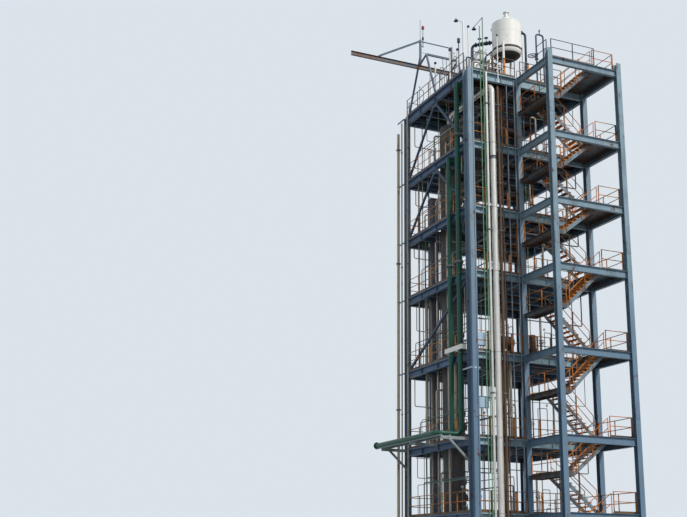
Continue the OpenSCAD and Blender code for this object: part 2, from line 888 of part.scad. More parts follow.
// Rail sketch of a flight: sloped rails and upright posts that overlap the stringer
module flight_rail_sketch(x0, z0, x1, z1) {
  foot = 150;
  slope = (z1 - z0) / (x1 - x0);
  inset = 150;
  a = x0 + inset;
  b = x1 - inset;
  posts = 2;
  for (up = [rail_h - rail_t, rail_h / 2])
    polygon([
      [a, z0 + slope * inset + up], [b, z1 - slope * inset + up],
      [b, z1 - slope * inset + up + rail_t], [a, z0 + slope * inset + up + rail_t]
    ]);
  for (i = [0:posts]) {
    x = a + i * (b - a - rail_t) / posts;
    z = z0 + slope * (x - x0);
    translate([x, z - foot]) square([rail_t, rail_h + foot - rail_t / 2]);
  }
}

module flight_rails(lane, x0, z0, x1, z1) {
  for (y = [lane, lane + flight_w + rail_t])
    translate([0, y, 0])
      rotate([90, 0, 0])
        linear_extrude(rail_t) above_ground() flight_rail_sketch(x0, z0, x1, z1);
}

// Rails of the flights, of the landings and of the two ties at the top that no landing reaches
module stair_rails() {
  tie_clear = 10;
  color(rail_orange) {
    rail_y(y_stair + leg_h / 2 + tie_clear, outer_lane + flight_w, x_mid - rail_t / 2, steel_top(floors));
    rail_x(x_mid + leg_b / 2 + tie_clear, x_floor_edge, y_stair - rail_t / 2, steel_top(floors));
    for (n = [1:floors]) {
      z = half_level(n);
      flight_rails(outer_lane, x_mid_edge, z, x_floor_edge, level(n));
      flight_rails(inner_lane, x_mid_edge, z, x_floor_edge, level(n - 1));
      rail_y(outer_lane, y_front - leg_h / 2, x_mid + beam_b / 2, z);
      rail_x(x_mid + beam_b / 2 + rail_t + steel_gap, x_mid_edge, outer_lane, z);
      rail_y(outer_lane, y_front - leg_h / 2, x_right - beam_b / 2 - rail_t, level(n));
      rail_x(x_floor_edge, x_right - beam_b / 2 - rail_t - steel_gap, outer_lane, level(n));
    }
  }
}

// Pipe ledge and risers

ledge_z = level(2);
ledge_h = 160;
ledge_pipe_pitch = 500;
ledge_y = [y_front + corner_leg_h / 2, y_front + frame_depth / 2, y_rear - leg_h / 2];

// A knee under a bracket, from the flange of a leg of width b at the side y to the bracket
module ledge_knee(y, b) {
  knee_drop = 1100;
  knee_reach = 1250;
  knee_h = 100;
  seat = 100;
  z = ledge_z - deck_t - ledge_h;
  foot = [x_left - b / 2 + seat, y + joist_b / 2, z - knee_drop];
  head = [x_left - knee_reach, y + joist_b / 2, z];
  intersection() {
    bar(foot + 0.1 * (foot - head), head + 0.1 * (head - foot), joist_b, knee_h);
    translate([head.x - knee_h, y, z - 2 * knee_drop])
      cube([foot.x - head.x + knee_h, joist_b, 2 * knee_drop]);
  }
}

// Cantilever ledge for the green pipes: three brackets, a knee at each leg and two rails for the pipes
module pipe_ledge() {
  x_out = x_left - ledge_reach;
  z = ledge_z - deck_t;
  ledge_rail = 80;
  ledge_rail_t = 60;
  ledge_over = 600;
  color(steel_blue) {
    for (y = [ledge_y[0], ledge_y[1] - joist_b / 2, ledge_y[2] - joist_b])
      translate([x_out, y, z - ledge_h]) cube([ledge_reach - deck_edge - riser_bar, joist_b, ledge_h]);
    for (x = [x_out, x_out + ledge_pipe_pitch])
      translate([x, ledge_y[0], z]) cube([ledge_rail, ledge_y[2] - ledge_y[0] + ledge_over, ledge_rail_t]);
    ledge_knee(ledge_y[0], corner_leg_b);
    ledge_knee(ledge_y[2] - joist_b, leg_b);
  }
}

// Bars along the faces that carry the risers, at every floor
module riser_bars() {
  color(steel_blue)
    for (n = [1:floors]) {
      z = steel_top(n) - riser_bar;
      translate([bar_x, y_front + corner_leg_h / 2, z])
        cube([riser_bar, frame_depth - corner_leg_h / 2 - leg_h / 2, riser_bar]);
      translate([bar_x, y_rear + leg_h / 2, z])
        cube([riser_bar, rear_bar, riser_bar]);
      translate([x_left + corner_leg_b / 2, bar_y, z])
        cube([left_bay - corner_leg_b / 2 - leg_b / 2, riser_bar, riser_bar]);
    }
}

// A riser on the left face, from z0 to z1, at y
module left_riser(y, r, z0, z1) {
  translate([bar_x - pipe_gap - r, y, z0]) cylinder(h = z1 - z0, r = r);
}

// A riser on the front face, from z0 to z1, at x
module front_riser(x, r, z0, z1) {
  translate([x, bar_y - pipe_gap - r, z0]) cylinder(h = z1 - z0, r = r);
}

// Green pipes: down the left face, out over the ledge and back along its edge
module green_pipe(y, z1, x_run) {
  r = green_d / 2;
  bend = 1.5 * green_d;
  z_run = ledge_z + 20 + r;
  x0 = bar_x - pipe_gap - r;
  y_end = y_rear + 500;
  translate([x0, y, z_run + bend]) cylinder(h = z1 - z_run - bend, r = r);
  translate([x0 - bend, y, z_run + bend]) rotate([-90, 0, 0]) quarter_bend(r, bend);
  rod([x0 - bend, y, z_run], [x_run + bend, y, z_run], r);
  translate([x_run + bend, y + bend, z_run]) rotate([0, 0, 180]) quarter_bend(r, bend);
  rod([x_run, y + bend, z_run], [x_run, y_end, z_run], r);
  translate([x_run, y_end, z_run]) rotate([-90, 0, 0]) cylinder(h = 30, r = r + 70);
}

module green_pipes() {
  color(pipe_green) {
    green_pipe(y_front + green_1, steel_top(floors) - top_beam_h - 50, x_left - ledge_reach + 40);
    green_pipe(y_front + green_2, steel_top(floors - 1) - beam_h - 50, x_left - ledge_reach + ledge_pipe_pitch + 40);
  }
}

// Thin light green pipes beside the front left leg, which rise past the top deck
light_green_top = 3200;

module light_green_pipes() {
  color([0.48, 0.58, 0.54]) {
    front_riser(x_left + light_green_1, light_green_d / 2, riser_foot, top + light_green_top - 500);
    front_riser(x_left + light_green_2, light_green_d / 2, riser_foot, top + light_green_top);
  }
}

// Silver pipe that runs beside the insulated overhead line
module silver_pipe() {
  color("gainsboro")
    front_riser(x_left + silver_1, silver_d / 2, riser_foot, steel_top(floors) - 100);
}

// Brown and yellow brown pipes
module brown_pipes() {
  color([0.42, 0.33, 0.26]) {
    front_riser(x_left + brown_1, brown_1_d / 2, riser_foot, top - 900);
    front_riser(x_left + brown_2, brown_2_d / 2, riser_foot, level(6));
  }
}

// Thin grey pipes beside the middle leg
module grey_pipes() {
  color([0.45, 0.48, 0.50]) {
    front_riser(x_left + grey_1, grey_d / 2, riser_foot, top - 700);
    front_riser(x_left + grey_2, grey_d / 2, riser_foot, top - 300);
  }
}

// Bundle of pipes behind the rear left leg
module rear_pipes() {
  color([0.55, 0.53, 0.50]) {
    left_riser(y_rear - rear_1, rear_1_d / 2, riser_foot, top + 200);
    left_riser(y_rear + rear_2, rear_2_d / 2, riser_foot, top - 300);
    left_riser(y_rear + rear_3, rear_3_d / 2, riser_foot, top - 900);
  }
}

// Top drum

drum_at = [x_left + drum_from_left, y_front + drum_from_front];
drum_z = top + drum_leg_h;
ring_h = 130;
ring_t = 16;

module drum_shell() {
  color("white")
    translate([drum_at.x, drum_at.y, drum_z]) tube(drum_h, drum_d / 2, drum_wall);
}

module drum_top_head() {
  color("white")
    translate([drum_at.x, drum_at.y, drum_z + drum_h]) dished_head(drum_d / 2, drum_wall, drum_d / 12);
}

module drum_bottom_head() {
  color([0.33, 0.30, 0.27])
    translate([drum_at.x, drum_at.y, drum_z])
      mirror([0, 0, 1]) dished_head(drum_d / 2, drum_wall, drum_bottom);
}

// Ring round the foot of the drum, which the legs stand against
module drum_ring() {
  color([0.30, 0.30, 0.32])
    translate([drum_at.x, drum_at.y, drum_z]) tube(ring_h, drum_d / 2 + pipe_gap + ring_t, ring_t);
}

module drum_legs() {
  color("white")
    for (a = [45:90:315])
      translate([drum_at.x, drum_at.y, top])
        rotate(a)
          translate([drum_d / 2 + ring_t + 2 * pipe_gap + drum_leg_d / 2, 0, 0]) {
            cylinder(h = drum_leg_h + 2 * ring_h, r = drum_leg_d / 2);
            cylinder(h = 20, r = drum_leg_d);
          }
}

module drum_nozzle() {
  r = drum_nozzle_d / 2;
  wall = 20;
  seat = drum_d / 12 * sqrt(1 - pow((r - wall) / (drum_d / 2), 2));
  color("white")
    translate([drum_at.x, drum_at.y, drum_z + drum_h + seat]) {
      tube(280, r, wall);
      translate([0, 0, 240]) tube(40, r + 70, wall + 70);
    }
}

// Lines that leave the drum on its left and on its right and turn down to the top deck
module drum_lines() {
  color([0.30, 0.34, 0.40])
    translate([drum_at.x, drum_at.y, 0]) {
      drop_line(drum_d / 2, 137, drum_inlet_reach, drum_z + 0.45 * drum_h, top, drum_inlet_d);
      drop_line(drum_d / 2, 0, drum_outlet_reach, drum_z + 0.85 * drum_h, top, drum_outlet_d);
    }
}

// Equipment on the third floor

vessel_y = y_front + 750;

// Vessel that lies on two saddles, and a small upright vessel on four legs
module floor_vessels() {
  z = level(3);
  lying_z = z + 750;
  lying_x = x_left + 2050;
  upright_x = x_left + 4250;
  upright_z = z + 330;
  saddle_t = 80;
  wall = 10;
  leg = 40;
  color([0.46, 0.40, 0.36]) {
    translate([lying_x, vessel_y, lying_z])
      rotate([0, 90, 0]) {
        cylinder(h = lying_len, r = lying_d / 2);
        translate([0, 0, lying_len]) dome(lying_d / 2, lying_d / 5);
        mirror([0, 0, 1]) dome(lying_d / 2, lying_d / 5);
      }
    for (x = [0.15, 0.85])
      translate([lying_x + x * lying_len - saddle_t / 2, vessel_y - lying_d / 3, z])
        difference() {
          cube([saddle_t, 2 * lying_d / 3, lying_z - z]);
          translate([-1, lying_d / 3, lying_z - z]) rotate([0, 90, 0]) cylinder(h = saddle_t + 2, r = lying_d / 2);
        }
    translate([upright_x, vessel_y, upright_z]) {
      tube(upright_h, upright_d / 2, wall);
      translate([0, 0, upright_h]) dished_head(upright_d / 2, wall, upright_d / 5);
      mirror([0, 0, 1]) dished_head(upright_d / 2, wall, upright_d / 5);
    }
    for (a = [45:90:315])
      translate([upright_x, vessel_y, z])
        rotate(a) translate([upright_d / 2, -leg / 2, 0]) cube([leg, leg, upright_z - z + 250]);
  }
}

// Pipe portals that stand on the floors: floor, place along both faces, width, height, diameter
portals = [
  [1, 2350, 1900, 700, 2300, 120], [2, 3800, 500, 1500, 2600, 110], [2, 2350, 650, 600, 1900, 90],
  [3, 4700, 600, 1300, 2900, 130], [4, 3700, 550, 1300, 2700, 110], [4, 2300, 1800, 650, 2500, 110],
  [5, 4300, 600, 1600, 2300, 100], [5, 2400, 700, 600, 1900, 90], [6, 3700, 550, 1100, 2400, 110],
  [6, 2350, 1850, 700, 2300, 110], [1, 4100, 550, 1500, 2200, 120], [3, 2500, 1950, 500, 2700, 100]
];

module floor_lines() {
  valve_up = 900;
  color(cladding)
    for (p = portals)
      translate([x_left + p[1], y_front + p[2], level(p[0])]) {
        pipe_run([[0, 0, 0], [0, 0, p[4]], [p[3], 0, p[4]], [p[3], 0, 0]], p[5] / 2, 1.3 * p[5]);
        translate([0, 0, valve_up]) rotate(90) gate_valve(p[5] / 2);
      }
}

// Lifting frame and fittings of the top deck

y_run = y_front + runway_from_front;
gallows_w = 110;
apex = 650;
gallows_x = [x_left, x_left + gallows_pitch];
shoulder = [y_run - 800, top + runway_z + 400];

// One frame: rear leg, front leg to a shoulder, link from the shoulder to the post, and the post
module gallows_frame(x, z_top) {
  w = gallows_w;
  leg_w = w - 14;
  link_w = w - 26;
  z_run = top + runway_z;
  difference() {
    union() {
      bar([x, y_run + gallows_spread, top - 100], [x, y_run, z_run + apex], leg_w, leg_w);
      bar([x, y_run - 1.25 * gallows_spread, top - 100], [x, shoulder[0], shoulder[1]], leg_w, leg_w);
      bar([x, shoulder[0], shoulder[1]], [x, y_run, z_run + w], link_w, link_w);
      translate([x - w / 2, y_run - w / 2, z_run]) cube([w, w, z_top - z_run]);
    }
    translate([x - w, y_run - 2 * gallows_spread, top - 400]) cube([2 * w, 4 * gallows_spread, 400]);
    translate([x - w, y_run - w, z_run - w]) cube([2 * w, 2 * w, w]);
  }
}

// Lifting frame: two frames, the chord between their shoulders and the tie from the mast to the runway beam
module gallows() {
  tie_r = 40;
  tie_reach = 2950;
  z_run = top + runway_z;
  z_tie = top + mast_top - 2 * tie_r;
  color([0.40, 0.44, 0.50]) {
    gallows_frame(gallows_x[0], top + mast_top);
    gallows_frame(gallows_x[1], z_run + apex + 300);
    translate([gallows_x[0], shoulder[0] - gallows_w / 2, shoulder[1] - gallows_w / 2])
      cube([gallows_pitch, gallows_w, gallows_w]);
    intersection() {
      rod([x_left, y_run, z_tie], [x_left - 1.1 * tie_reach, y_run, z_run - 0.1 * (z_tie - z_run)], tie_r);
      translate([x_left - 2 * tie_reach, y_run - 2 * tie_r, z_run]) cube([2 * tie_reach, 4 * tie_r, z_tie]);
    }
  }
}

module runway_beam() {
  runway_over = 400;
  color([0.28, 0.26, 0.26])
    beam_x(x_left - runway_reach, gallows_x[1] + runway_over, y_run, top + runway_z, 260, 140, 14, 9);
}

// Lightning rod on the mast, and the stay from the mast to the post of the second frame
module lightning_rods() {
  rod_r = 15;
  stay_r = 12;
  stay_z = top + runway_z + apex + 250;
  color([0.40, 0.44, 0.50]) {
    translate([x_left, y_run, top + mast_top]) cylinder(h = lightning_rod, r = rod_r);
    rod([gallows_x[0] + gallows_w / 2, y_run, stay_z], [gallows_x[1] - gallows_w / 2, y_run, stay_z], stay_r);
  }
}

// Vent pipes: place along both faces and height
vents = [[850, 3550, 2900], [1380, 3550, 3050], [450, 4650, 2450], [1590, 2550, 4150]];

module vent_pipes() {
  vent_foot = 600;
  front_vent_x = 1880;
  front_vent_r = 28;
  front_vent_h = 2330;
  color("white") {
    for (v = vents)
      translate([x_left + v.x, y_front + v.y, top]) {
        cylinder(h = v.z, r = vent_d / 2);
        cylinder(h = 20, r = vent_d);
      }
    front_riser(x_left + front_vent_x, front_vent_r, top - vent_foot, top + front_vent_h);
  }
}

// Inverted U of pipe to the right of the drum
module pipe_loop() {
  color([0.18, 0.24, 0.34])
    translate([x_left + loop_x, y_front + loop_y, top])
      pipe_run([[0, 0, 0], [0, 0, loop_h], [loop_w, 0, loop_h], [loop_w, 0, 0]], loop_d / 2, 1.5 * loop_d);
}

light_arm = [-470, 0, 180];

module light_pole() {
  color("gray")
    translate([x_left + light_pole_x, y_front + light_pole_y, top]) {
      cylinder(h = light_pole_h, r = light_pole_d / 2);
      cylinder(h = 20, r = 1.3 * light_pole_d);
      rod([0, 0, light_pole_h - 100], [0, 0, light_pole_h - 100] + light_arm, 28);
    }
}

// A bell lamp that hangs with its top at the origin
module bell_lamp(r) {
  rotate_extrude() polygon([[0, 0], [0.35 * r, 0], [0.5 * r, -0.5 * r], [r, -1.1 * r], [r, -1.25 * r], [0, -1.25 * r]]);
}

// Lamps: one on the arm of the light pole, one on a bracket of the taller light green pipe,
// the obstruction lamp beside the mast and the work lamp on its own post
module lamps() {
  lamp_r = 130;
  bracket = [-560, 0, -640];
  post_x = gallows_w / 2 + 130;
  post_h = 450;
  work_x = 910;
  work_y = 2550;
  work_h = 3000;
  green_top = [x_left + light_green_2, bar_y - pipe_gap - light_green_d / 2, top + light_green_top];
  color([0.20, 0.21, 0.23]) {
    translate([x_left + light_pole_x, y_front + light_pole_y, top + light_pole_h - 100] + light_arm)
      translate([-10, 0, -26.3]) bell_lamp(lamp_r);
    rod(green_top + [0, 0, 80], green_top + bracket, 18);
    translate(green_top) cylinder(h = 100, r = light_green_d / 2);
    translate(green_top + bracket) bell_lamp(lamp_r);
    translate([x_left + gallows_w / 2, y_run - 20, top + mast_top - post_h]) cube([post_x, 40, 40]);
    translate([x_left + post_x, y_run, top + mast_top - post_h + 40]) {
      cylinder(h = post_h, r = 22);
      translate([0, 0, post_h]) cylinder(h = 150, r = 60);
      translate([0, 0, post_h + 150]) sphere(r = 60);
    }
    translate([x_left + work_x, y_front + work_y, top]) {
      cylinder(h = work_h, r = 30);
      cylinder(h = 20, r = 100);
      translate([0, 0, work_h]) cylinder(h = 260, r = 90);
    }
  }
}

column_plinth();
column_skirt();
column_bottom_head();
column_shell();
column_top_head();
column_nozzles();
overhead_line();
slim_plinth();
slim_skirt();
slim_shell();
slim_heads();
column_guides();
base_plates();
main_legs();
floor_beams_1();
floor_beams_2();
floor_beams_3();
floor_beams_4();
floor_beams_5();
floor_beams_6();
top_beams();
floor_decks();
top_deck();
lower_handrails();
upper_handrails();
top_handrails();
braces();
stair_legs();
stair_ties();
mid_landings();
floor_landings();
stair_stringers();
stair_treads();
stair_rails();
pipe_ledge();
riser_bars();
green_pipes();
light_green_pipes();
brown_pipes();
grey_pipes();
rear_pipes();
drum_shell();
drum_top_head();
drum_bottom_head();
drum_ring();
drum_legs();
drum_nozzle();
gallows();
runway_beam();
vent_pipes();
pipe_loop();
light_pole();
silver_pipe();
column_lines();
floor_lines();
floor_vessels();
drum_lines();
lamps();
lightning_rods();
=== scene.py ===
"""Looks of the distillation column in its access tower: finishes, gratings, fastenings and stage."""

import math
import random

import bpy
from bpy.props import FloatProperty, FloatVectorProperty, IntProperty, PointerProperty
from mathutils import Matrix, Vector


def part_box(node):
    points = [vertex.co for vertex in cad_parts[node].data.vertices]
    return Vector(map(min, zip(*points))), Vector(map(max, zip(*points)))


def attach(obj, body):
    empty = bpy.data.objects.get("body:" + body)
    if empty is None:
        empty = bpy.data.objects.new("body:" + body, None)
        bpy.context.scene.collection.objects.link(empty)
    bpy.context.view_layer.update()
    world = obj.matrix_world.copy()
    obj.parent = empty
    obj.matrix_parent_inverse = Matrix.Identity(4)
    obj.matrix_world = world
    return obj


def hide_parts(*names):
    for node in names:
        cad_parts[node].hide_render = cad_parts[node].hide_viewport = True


bl_info = {
    "name": "Distillation Column Tower",
    "version": (1, 0, 0),
    "blender": (4, 5, 0),
    "location": "3D View > Sidebar > Tower",
    "description": "Finishes, gratings, fastenings, lagging and stage of a distillation column in its tower",
    "category": "Object",
}

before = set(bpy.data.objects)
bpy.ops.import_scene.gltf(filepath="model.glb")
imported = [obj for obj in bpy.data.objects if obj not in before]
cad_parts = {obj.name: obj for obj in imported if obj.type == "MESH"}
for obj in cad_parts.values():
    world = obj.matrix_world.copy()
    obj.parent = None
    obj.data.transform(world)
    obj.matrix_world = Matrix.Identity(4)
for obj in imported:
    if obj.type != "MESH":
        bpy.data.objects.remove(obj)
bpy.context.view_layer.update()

# Sizes of the steel, the handrails and the openings, in metres

BEAM_HALF = 0.10
LEG_HALF = 0.15
WEB_HALF = 0.005
FLANGE_T = 0.016
SPLICE_T = 0.014
RAIL_HEIGHT = 1.1
KNEE_HEIGHT = 0.571
RAIL_T = 0.042
POST_R = 0.029
POST_PITCH = 1.5
FOOT_T = 0.01
TOE_HEIGHT = 0.1
TOE_T = 0.006
SMALL_BOLT = 0.018
COLUMN_HOLE = 0.75
SLIM_HOLE = 0.44
FLOORS = 7

# Angle in degrees below which the edges of a round piece are shaded smooth

SMOOTH = 40

# Places of the tower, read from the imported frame

steel_low, steel_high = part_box("floor_beams_1")
stair_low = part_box("stair_legs")[0]
deck_low, deck_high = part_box("top_deck")
column_low, column_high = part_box("column_shell")
slim_low, slim_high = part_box("slim_shell")
legs_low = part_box("main_legs")[0]

X_LEFT = steel_low.x + BEAM_HALF
X_RIGHT = steel_high.x - BEAM_HALF
X_MID = stair_low.x + LEG_HALF
Y_FRONT = steel_low.y + BEAM_HALF
Y_REAR = steel_high.y - BEAM_HALF
Y_STAIR = stair_low.y + LEG_HALF
DECK_T = deck_high.z - deck_low.z
DECK_EDGE = X_LEFT - deck_low.x
LEVELS = [0.0] + [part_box(f"floor_beams_{n}")[1].z + DECK_T for n in range(1, FLOORS)] + [deck_high.z]
CORNER_HALF = Vector((X_LEFT - legs_low.x, Y_FRONT - legs_low.y))
LEG_PLACES = [(X_MID, Y_FRONT), (X_RIGHT, Y_FRONT), (X_LEFT, Y_REAR), (X_MID, Y_REAR), (X_RIGHT, Y_REAR)]
STAIR_PLACES = [(X_MID, Y_STAIR), (X_RIGHT, Y_STAIR)]
ALL_LEGS = [(X_LEFT, Y_FRONT)] + LEG_PLACES + STAIR_PLACES
BASE_TOP = legs_low.z
RUNWAY_Y = Y_FRONT + 5.75
LOOP_X, LOOP_Y = 5.63, 1.4
BAR = 0.06
BAR_X = X_LEFT - DECK_EDGE - BAR
BAR_Y = Y_FRONT - DECK_EDGE - BAR
SLIM_Y = (slim_low.y + slim_high.y) / 2
COLUMN_R = column_high.x
SLIM_R = slim_high.x

# The stair: two lanes between the landings halfway up and those at the floors

STRINGER_T = 0.014
FLIGHT_W = 1.0
X_MID_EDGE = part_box("mid_landings")[1].x
X_FLOOR_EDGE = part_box("floor_landings")[0].x
OUTER_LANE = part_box("floor_landings")[0].y
INNER_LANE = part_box("stair_treads")[1].y + STRINGER_T - FLIGHT_W
HALF_LEVELS = [0.0] + [(LEVELS[n - 1] + LEVELS[n]) / 2 for n in range(1, FLOORS + 1)]

# Heights of the beams, and places in rows


def steel_top(n):
    return LEVELS[n] - DECK_T


def beam_depth(n):
    low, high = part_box("top_beams" if n == FLOORS else f"floor_beams_{n}")
    return high.z - low.z


def beam_foot(n):
    return steel_top(n) - beam_depth(n)


def around(count, radius, centre=(0, 0), start=0.0):
    """Places (x, y) spread evenly on a circle, the first one start steps from the X axis."""
    angles = [math.tau * (i + start) / count for i in range(count)]
    return [(centre[0] + radius * math.cos(a), centre[1] + radius * math.sin(a)) for a in angles]


def over(start, end, foot, head):
    """A path from the foot up at start, across at head height and back to the foot at end."""
    return [(*start, foot), (*start, head), (*end, head), (*end, foot)]


# Sizes and colours that a user may change


def colour(name, text, value):
    """A paint colour of the settings, written as it looks on a screen."""
    look = {"default": value, "subtype": "COLOR_GAMMA", "min": 0, "max": 1}
    return FloatVectorProperty(name=name, description=text, **look)


def length(name, text, value):
    """A length of the settings, in metres."""
    return FloatProperty(name=name, description=text, default=value, min=0, unit="LENGTH", precision=4)


class PaintSettings(bpy.types.PropertyGroup):
    """Colours of the tower's finishes."""

    legs: colour("Legs", "Faded light blue of the legs", (0.49, 0.575, 0.64))
    beams: colour("Beams", "Blue of the floor beams", (0.34, 0.44, 0.55))
    stair: colour("Stair steel", "Pale blue of the stair tower", (0.48, 0.575, 0.63))
    rails: colour("Rails", "Orange of the handrails and treads", (0.80, 0.48, 0.14))
    braces: colour("Braces", "Dark blue of the braces and the slim column", (0.20, 0.28, 0.37))
    green: colour("Green pipes", "Green of the two big risers", (0.04, 0.31, 0.25))
    light_green: colour("Light green pipes", "Green of the thin risers", (0.42, 0.58, 0.45))
    brown: colour("Brown pipes", "Brown primer", (0.38, 0.30, 0.24))
    grey: colour("Grey pipes", "Grey paint", (0.48, 0.50, 0.52))
    cream: colour("Cream pipes", "Cream paint", (0.74, 0.70, 0.62))
    drum: colour("Drum", "White of the top drum", (0.965, 0.96, 0.94))
    lagging: colour("Lagging", "Aluminium cladding", (0.86, 0.85, 0.83))
    column: colour("Column", "Dull cladding of the main column", (0.34, 0.33, 0.33))
    cladding: colour("Cladding", "Dusty cladding of the lines beside the columns", (0.70, 0.66, 0.61))
    deck: colour("Decks", "Dark steel of the decks", (0.17, 0.16, 0.155))
    concrete: colour("Concrete", "Foundations", (0.60, 0.58, 0.54))
    rust: colour("Rust", "Rust on worn steel", (0.36, 0.19, 0.10))
    # Paler front beams: painted light, the beams of the front face made paler as if lit by the sun.
    front: colour("Front beams", "Paler, greener blue of the beams on the front face", (0.56, 0.67, 0.72))
    # Deeper blue near the ground: painted shade, the lower storeys darkened as if they stood in shade.
    low: colour("Lower steel", "Deeper blue of the steel near the ground", (0.33, 0.45, 0.56))
    ledge: colour("Ledge", "Pale grey of the pipe ledge", (0.53, 0.57, 0.58))
    slim: colour("Slim column", "Grey of the slim column", (0.44, 0.44, 0.48))
    rim: colour("Rims", "Worn orange of the toe plates and deck edges", (0.42, 0.31, 0.19))
    slate: colour("Lifting frame", "Slate of the lifting frame", (0.33, 0.40, 0.47))


class DeckSettings(bpy.types.PropertyGroup):
    """Sizes of the gratings and plates."""

    bar_pitch: length("Bar pitch", "Distance between bearing bars", 0.041)
    bar_t: length("Bar thickness", "Thickness of a bearing bar", 0.005)
    bar_h: length("Bar depth", "Depth of a bearing bar", 0.030)
    rod_pitch: length("Rod pitch", "Distance between cross rods", 0.10)
    rod_t: length("Rod thickness", "Thickness of a cross rod", 0.006)
    panel: length("Panel width", "Widest deck panel", 1.0)
    plate_t: length("Plate thickness", "Thickness of a chequered plate", 0.008)


class FixingSettings(bpy.types.PropertyGroup):
    """Sizes of the bolts, bands and rail tubes."""

    bolt_head: length("Bolt head", "Width of a bolt head", 0.032)
    anchor_nut: length("Anchor nut", "Width of an anchor nut", 0.050)
    band_pitch: length("Band pitch", "Distance between lagging bands", 0.90)
    band_w: length("Band width", "Width of a lagging band", 0.030)
    rail_sides: IntProperty(name="Rail sides", description="Sides of a rail tube", default=10, min=6, max=24)


class StageSettings(bpy.types.PropertyGroup):
    """Camera and light."""

    lens: FloatProperty(name="Lens", description="Focal length in millimetres", default=55.81, min=10)
    lift: FloatProperty(name="Lift", description="Vertical shift of the lens", default=0.0502)
    pitch: FloatProperty(name="Pitch", description="How far the camera looks up", default=math.radians(14.37),
                         subtype="ANGLE")
    roll: FloatProperty(name="Roll", description="Camera's turn about its view", default=math.radians(0.73),
                        subtype="ANGLE")
    heading: FloatProperty(name="Heading", description="Camera's turn from the Y axis towards the X axis",
                           default=math.radians(23.18), subtype="ANGLE")
    place: FloatVectorProperty(name="Place", description="Camera's place", default=(-29.42, -52.67, 0.49),
                               subtype="TRANSLATION")
    key: FloatProperty(name="Key", description="Strength of the key light", default=2.65, min=0)
    fill: FloatProperty(name="Fill", description="Strength of the light from all round", default=0.60, min=0)
    sky: colour("Backdrop", "Colour behind the object", (0.86, 0.89, 0.92))
    floor: colour("Floor", "Colour of the floor", (0.82, 0.83, 0.83))


class TowerSettings(bpy.types.PropertyGroup):
    """All settings of the tower."""

    paint: PointerProperty(type=PaintSettings)
    deck: PointerProperty(type=DeckSettings)
    fixing: PointerProperty(type=FixingSettings)
    stage: PointerProperty(type=StageSettings)


def settings():
    return bpy.context.scene.tower


# Node trees written as expressions


class Number:
    """A number socket of a node tree, on which arithmetic adds Math nodes."""

    def __init__(self, graph, socket):
        self.graph = graph
        self.socket = socket

    def math(self, operation, *others):
        values = dict(enumerate(others, start=1))
        values[0] = self
        made = self.graph.node("ShaderNodeMath", {"operation": operation}, values)
        return Number(self.graph, made.outputs[0])

    def reflected(self, operation, other):
        made = self.graph.node("ShaderNodeMath", {"operation": operation}, {0: other, 1: self})
        return Number(self.graph, made.outputs[0])

    def __add__(self, other):
        return self.math("ADD", other)

    def __sub__(self, other):
        return self.math("SUBTRACT", other)

    def __rsub__(self, other):
        return self.reflected("SUBTRACT", other)

    def __mul__(self, other):
        return self.math("MULTIPLY", other)

    def __truediv__(self, other):
        return self.math("DIVIDE", other)

    def __rtruediv__(self, other):
        return self.reflected("DIVIDE", other)

    __radd__ = __add__
    __rmul__ = __mul__

    def span(self, low, high):
        """0 below low, 1 above high, smooth between them."""
        sockets = {"Value": self, 1: low, 2: high, 3: 0.0, 4: 1.0}
        made = self.graph.node("ShaderNodeMapRange", {"interpolation_type": "SMOOTHSTEP"}, sockets)
        return Number(self.graph, made.outputs[0])


class Graph:
    """A node tree while it is built."""

    def __init__(self, tree):
        self.tree = tree

    def node(self, kind, options=None, sockets=None):
        """Adds a node: its options first, then the values or links of its sockets."""
        made = self.tree.nodes.new(kind)
        for name, value in (options or {}).items():
            setattr(made, name, value)
        for key, value in (sockets or {}).items():
            self.feed(made.inputs[key], value)
        return made

    def out(self, kind, sockets=None):
        """The first output of a node that needs no option."""
        return self.node(kind, None, sockets).outputs[0]

    def feed(self, socket, value):
        if isinstance(value, Number):
            value = value.socket
        if isinstance(value, bpy.types.NodeSocket):
            self.tree.links.new(value, socket)
        elif socket.type == "RGBA":
            socket.default_value = (*value[:3], 1.0)
        else:
            socket.default_value = value


def linear(shade):
    """A screen colour as the linear light that Blender's sockets take."""
    return tuple(c / 12.92 if c <= 0.04045 else ((c + 0.055) / 1.055) ** 2.4 for c in shade[:3])


def scaled(shade, factor):
    return tuple(min(1.0, c * factor) for c in shade)


class Finish(Graph):
    """A procedural material on object coordinates, in metres."""

    def __init__(self, name, rough=0.6, metal=0.0, specular=0.4):
        self.material = bpy.data.materials.new(name)
        self.material.use_nodes = True
        super().__init__(self.material.node_tree)
        self.shader = self.tree.nodes["Principled BSDF"]
        self.shader.inputs["Roughness"].default_value = rough
        self.shader.inputs["Metallic"].default_value = metal
        self.shader.inputs["Specular IOR Level"].default_value = specular
        self.place = self.node("ShaderNodeTexCoord").outputs["Object"]

    def stretched(self, stretch):
        return self.out("ShaderNodeMapping", {"Vector": self.place, "Scale": stretch})

    def axis(self, index):
        return Number(self, self.node("ShaderNodeSeparateXYZ", None, {0: self.place}).outputs[index])

    def noise(self, scale, detail=3.0, rough=0.5, stretch=(1, 1, 1), warp=0.0):
        values = {"Vector": self.stretched(stretch), "Scale": scale, "Detail": detail, "Roughness": rough,
                  "Distortion": warp}
        return Number(self, self.out("ShaderNodeTexNoise", values))

    def cells(self, scale, stretch=(1, 1, 1)):
        values = {"Vector": self.stretched(stretch), "Scale": scale}
        return Number(self, self.node("ShaderNodeTexVoronoi", None, values).outputs["Distance"])

    def mix(self, factor, first, second):
        made = self.node("ShaderNodeMix", {"data_type": "RGBA"}, {0: factor, 6: first, 7: second})
        return made.outputs[2]

    def bump(self, height, distance, strength=1.0):
        sockets = {"Height": height, "Distance": distance, "Strength": strength}
        self.set("Normal", self.out("ShaderNodeBump", sockets))

    def set(self, name, value):
        self.feed(self.shader.inputs[name], value)


# Finishes


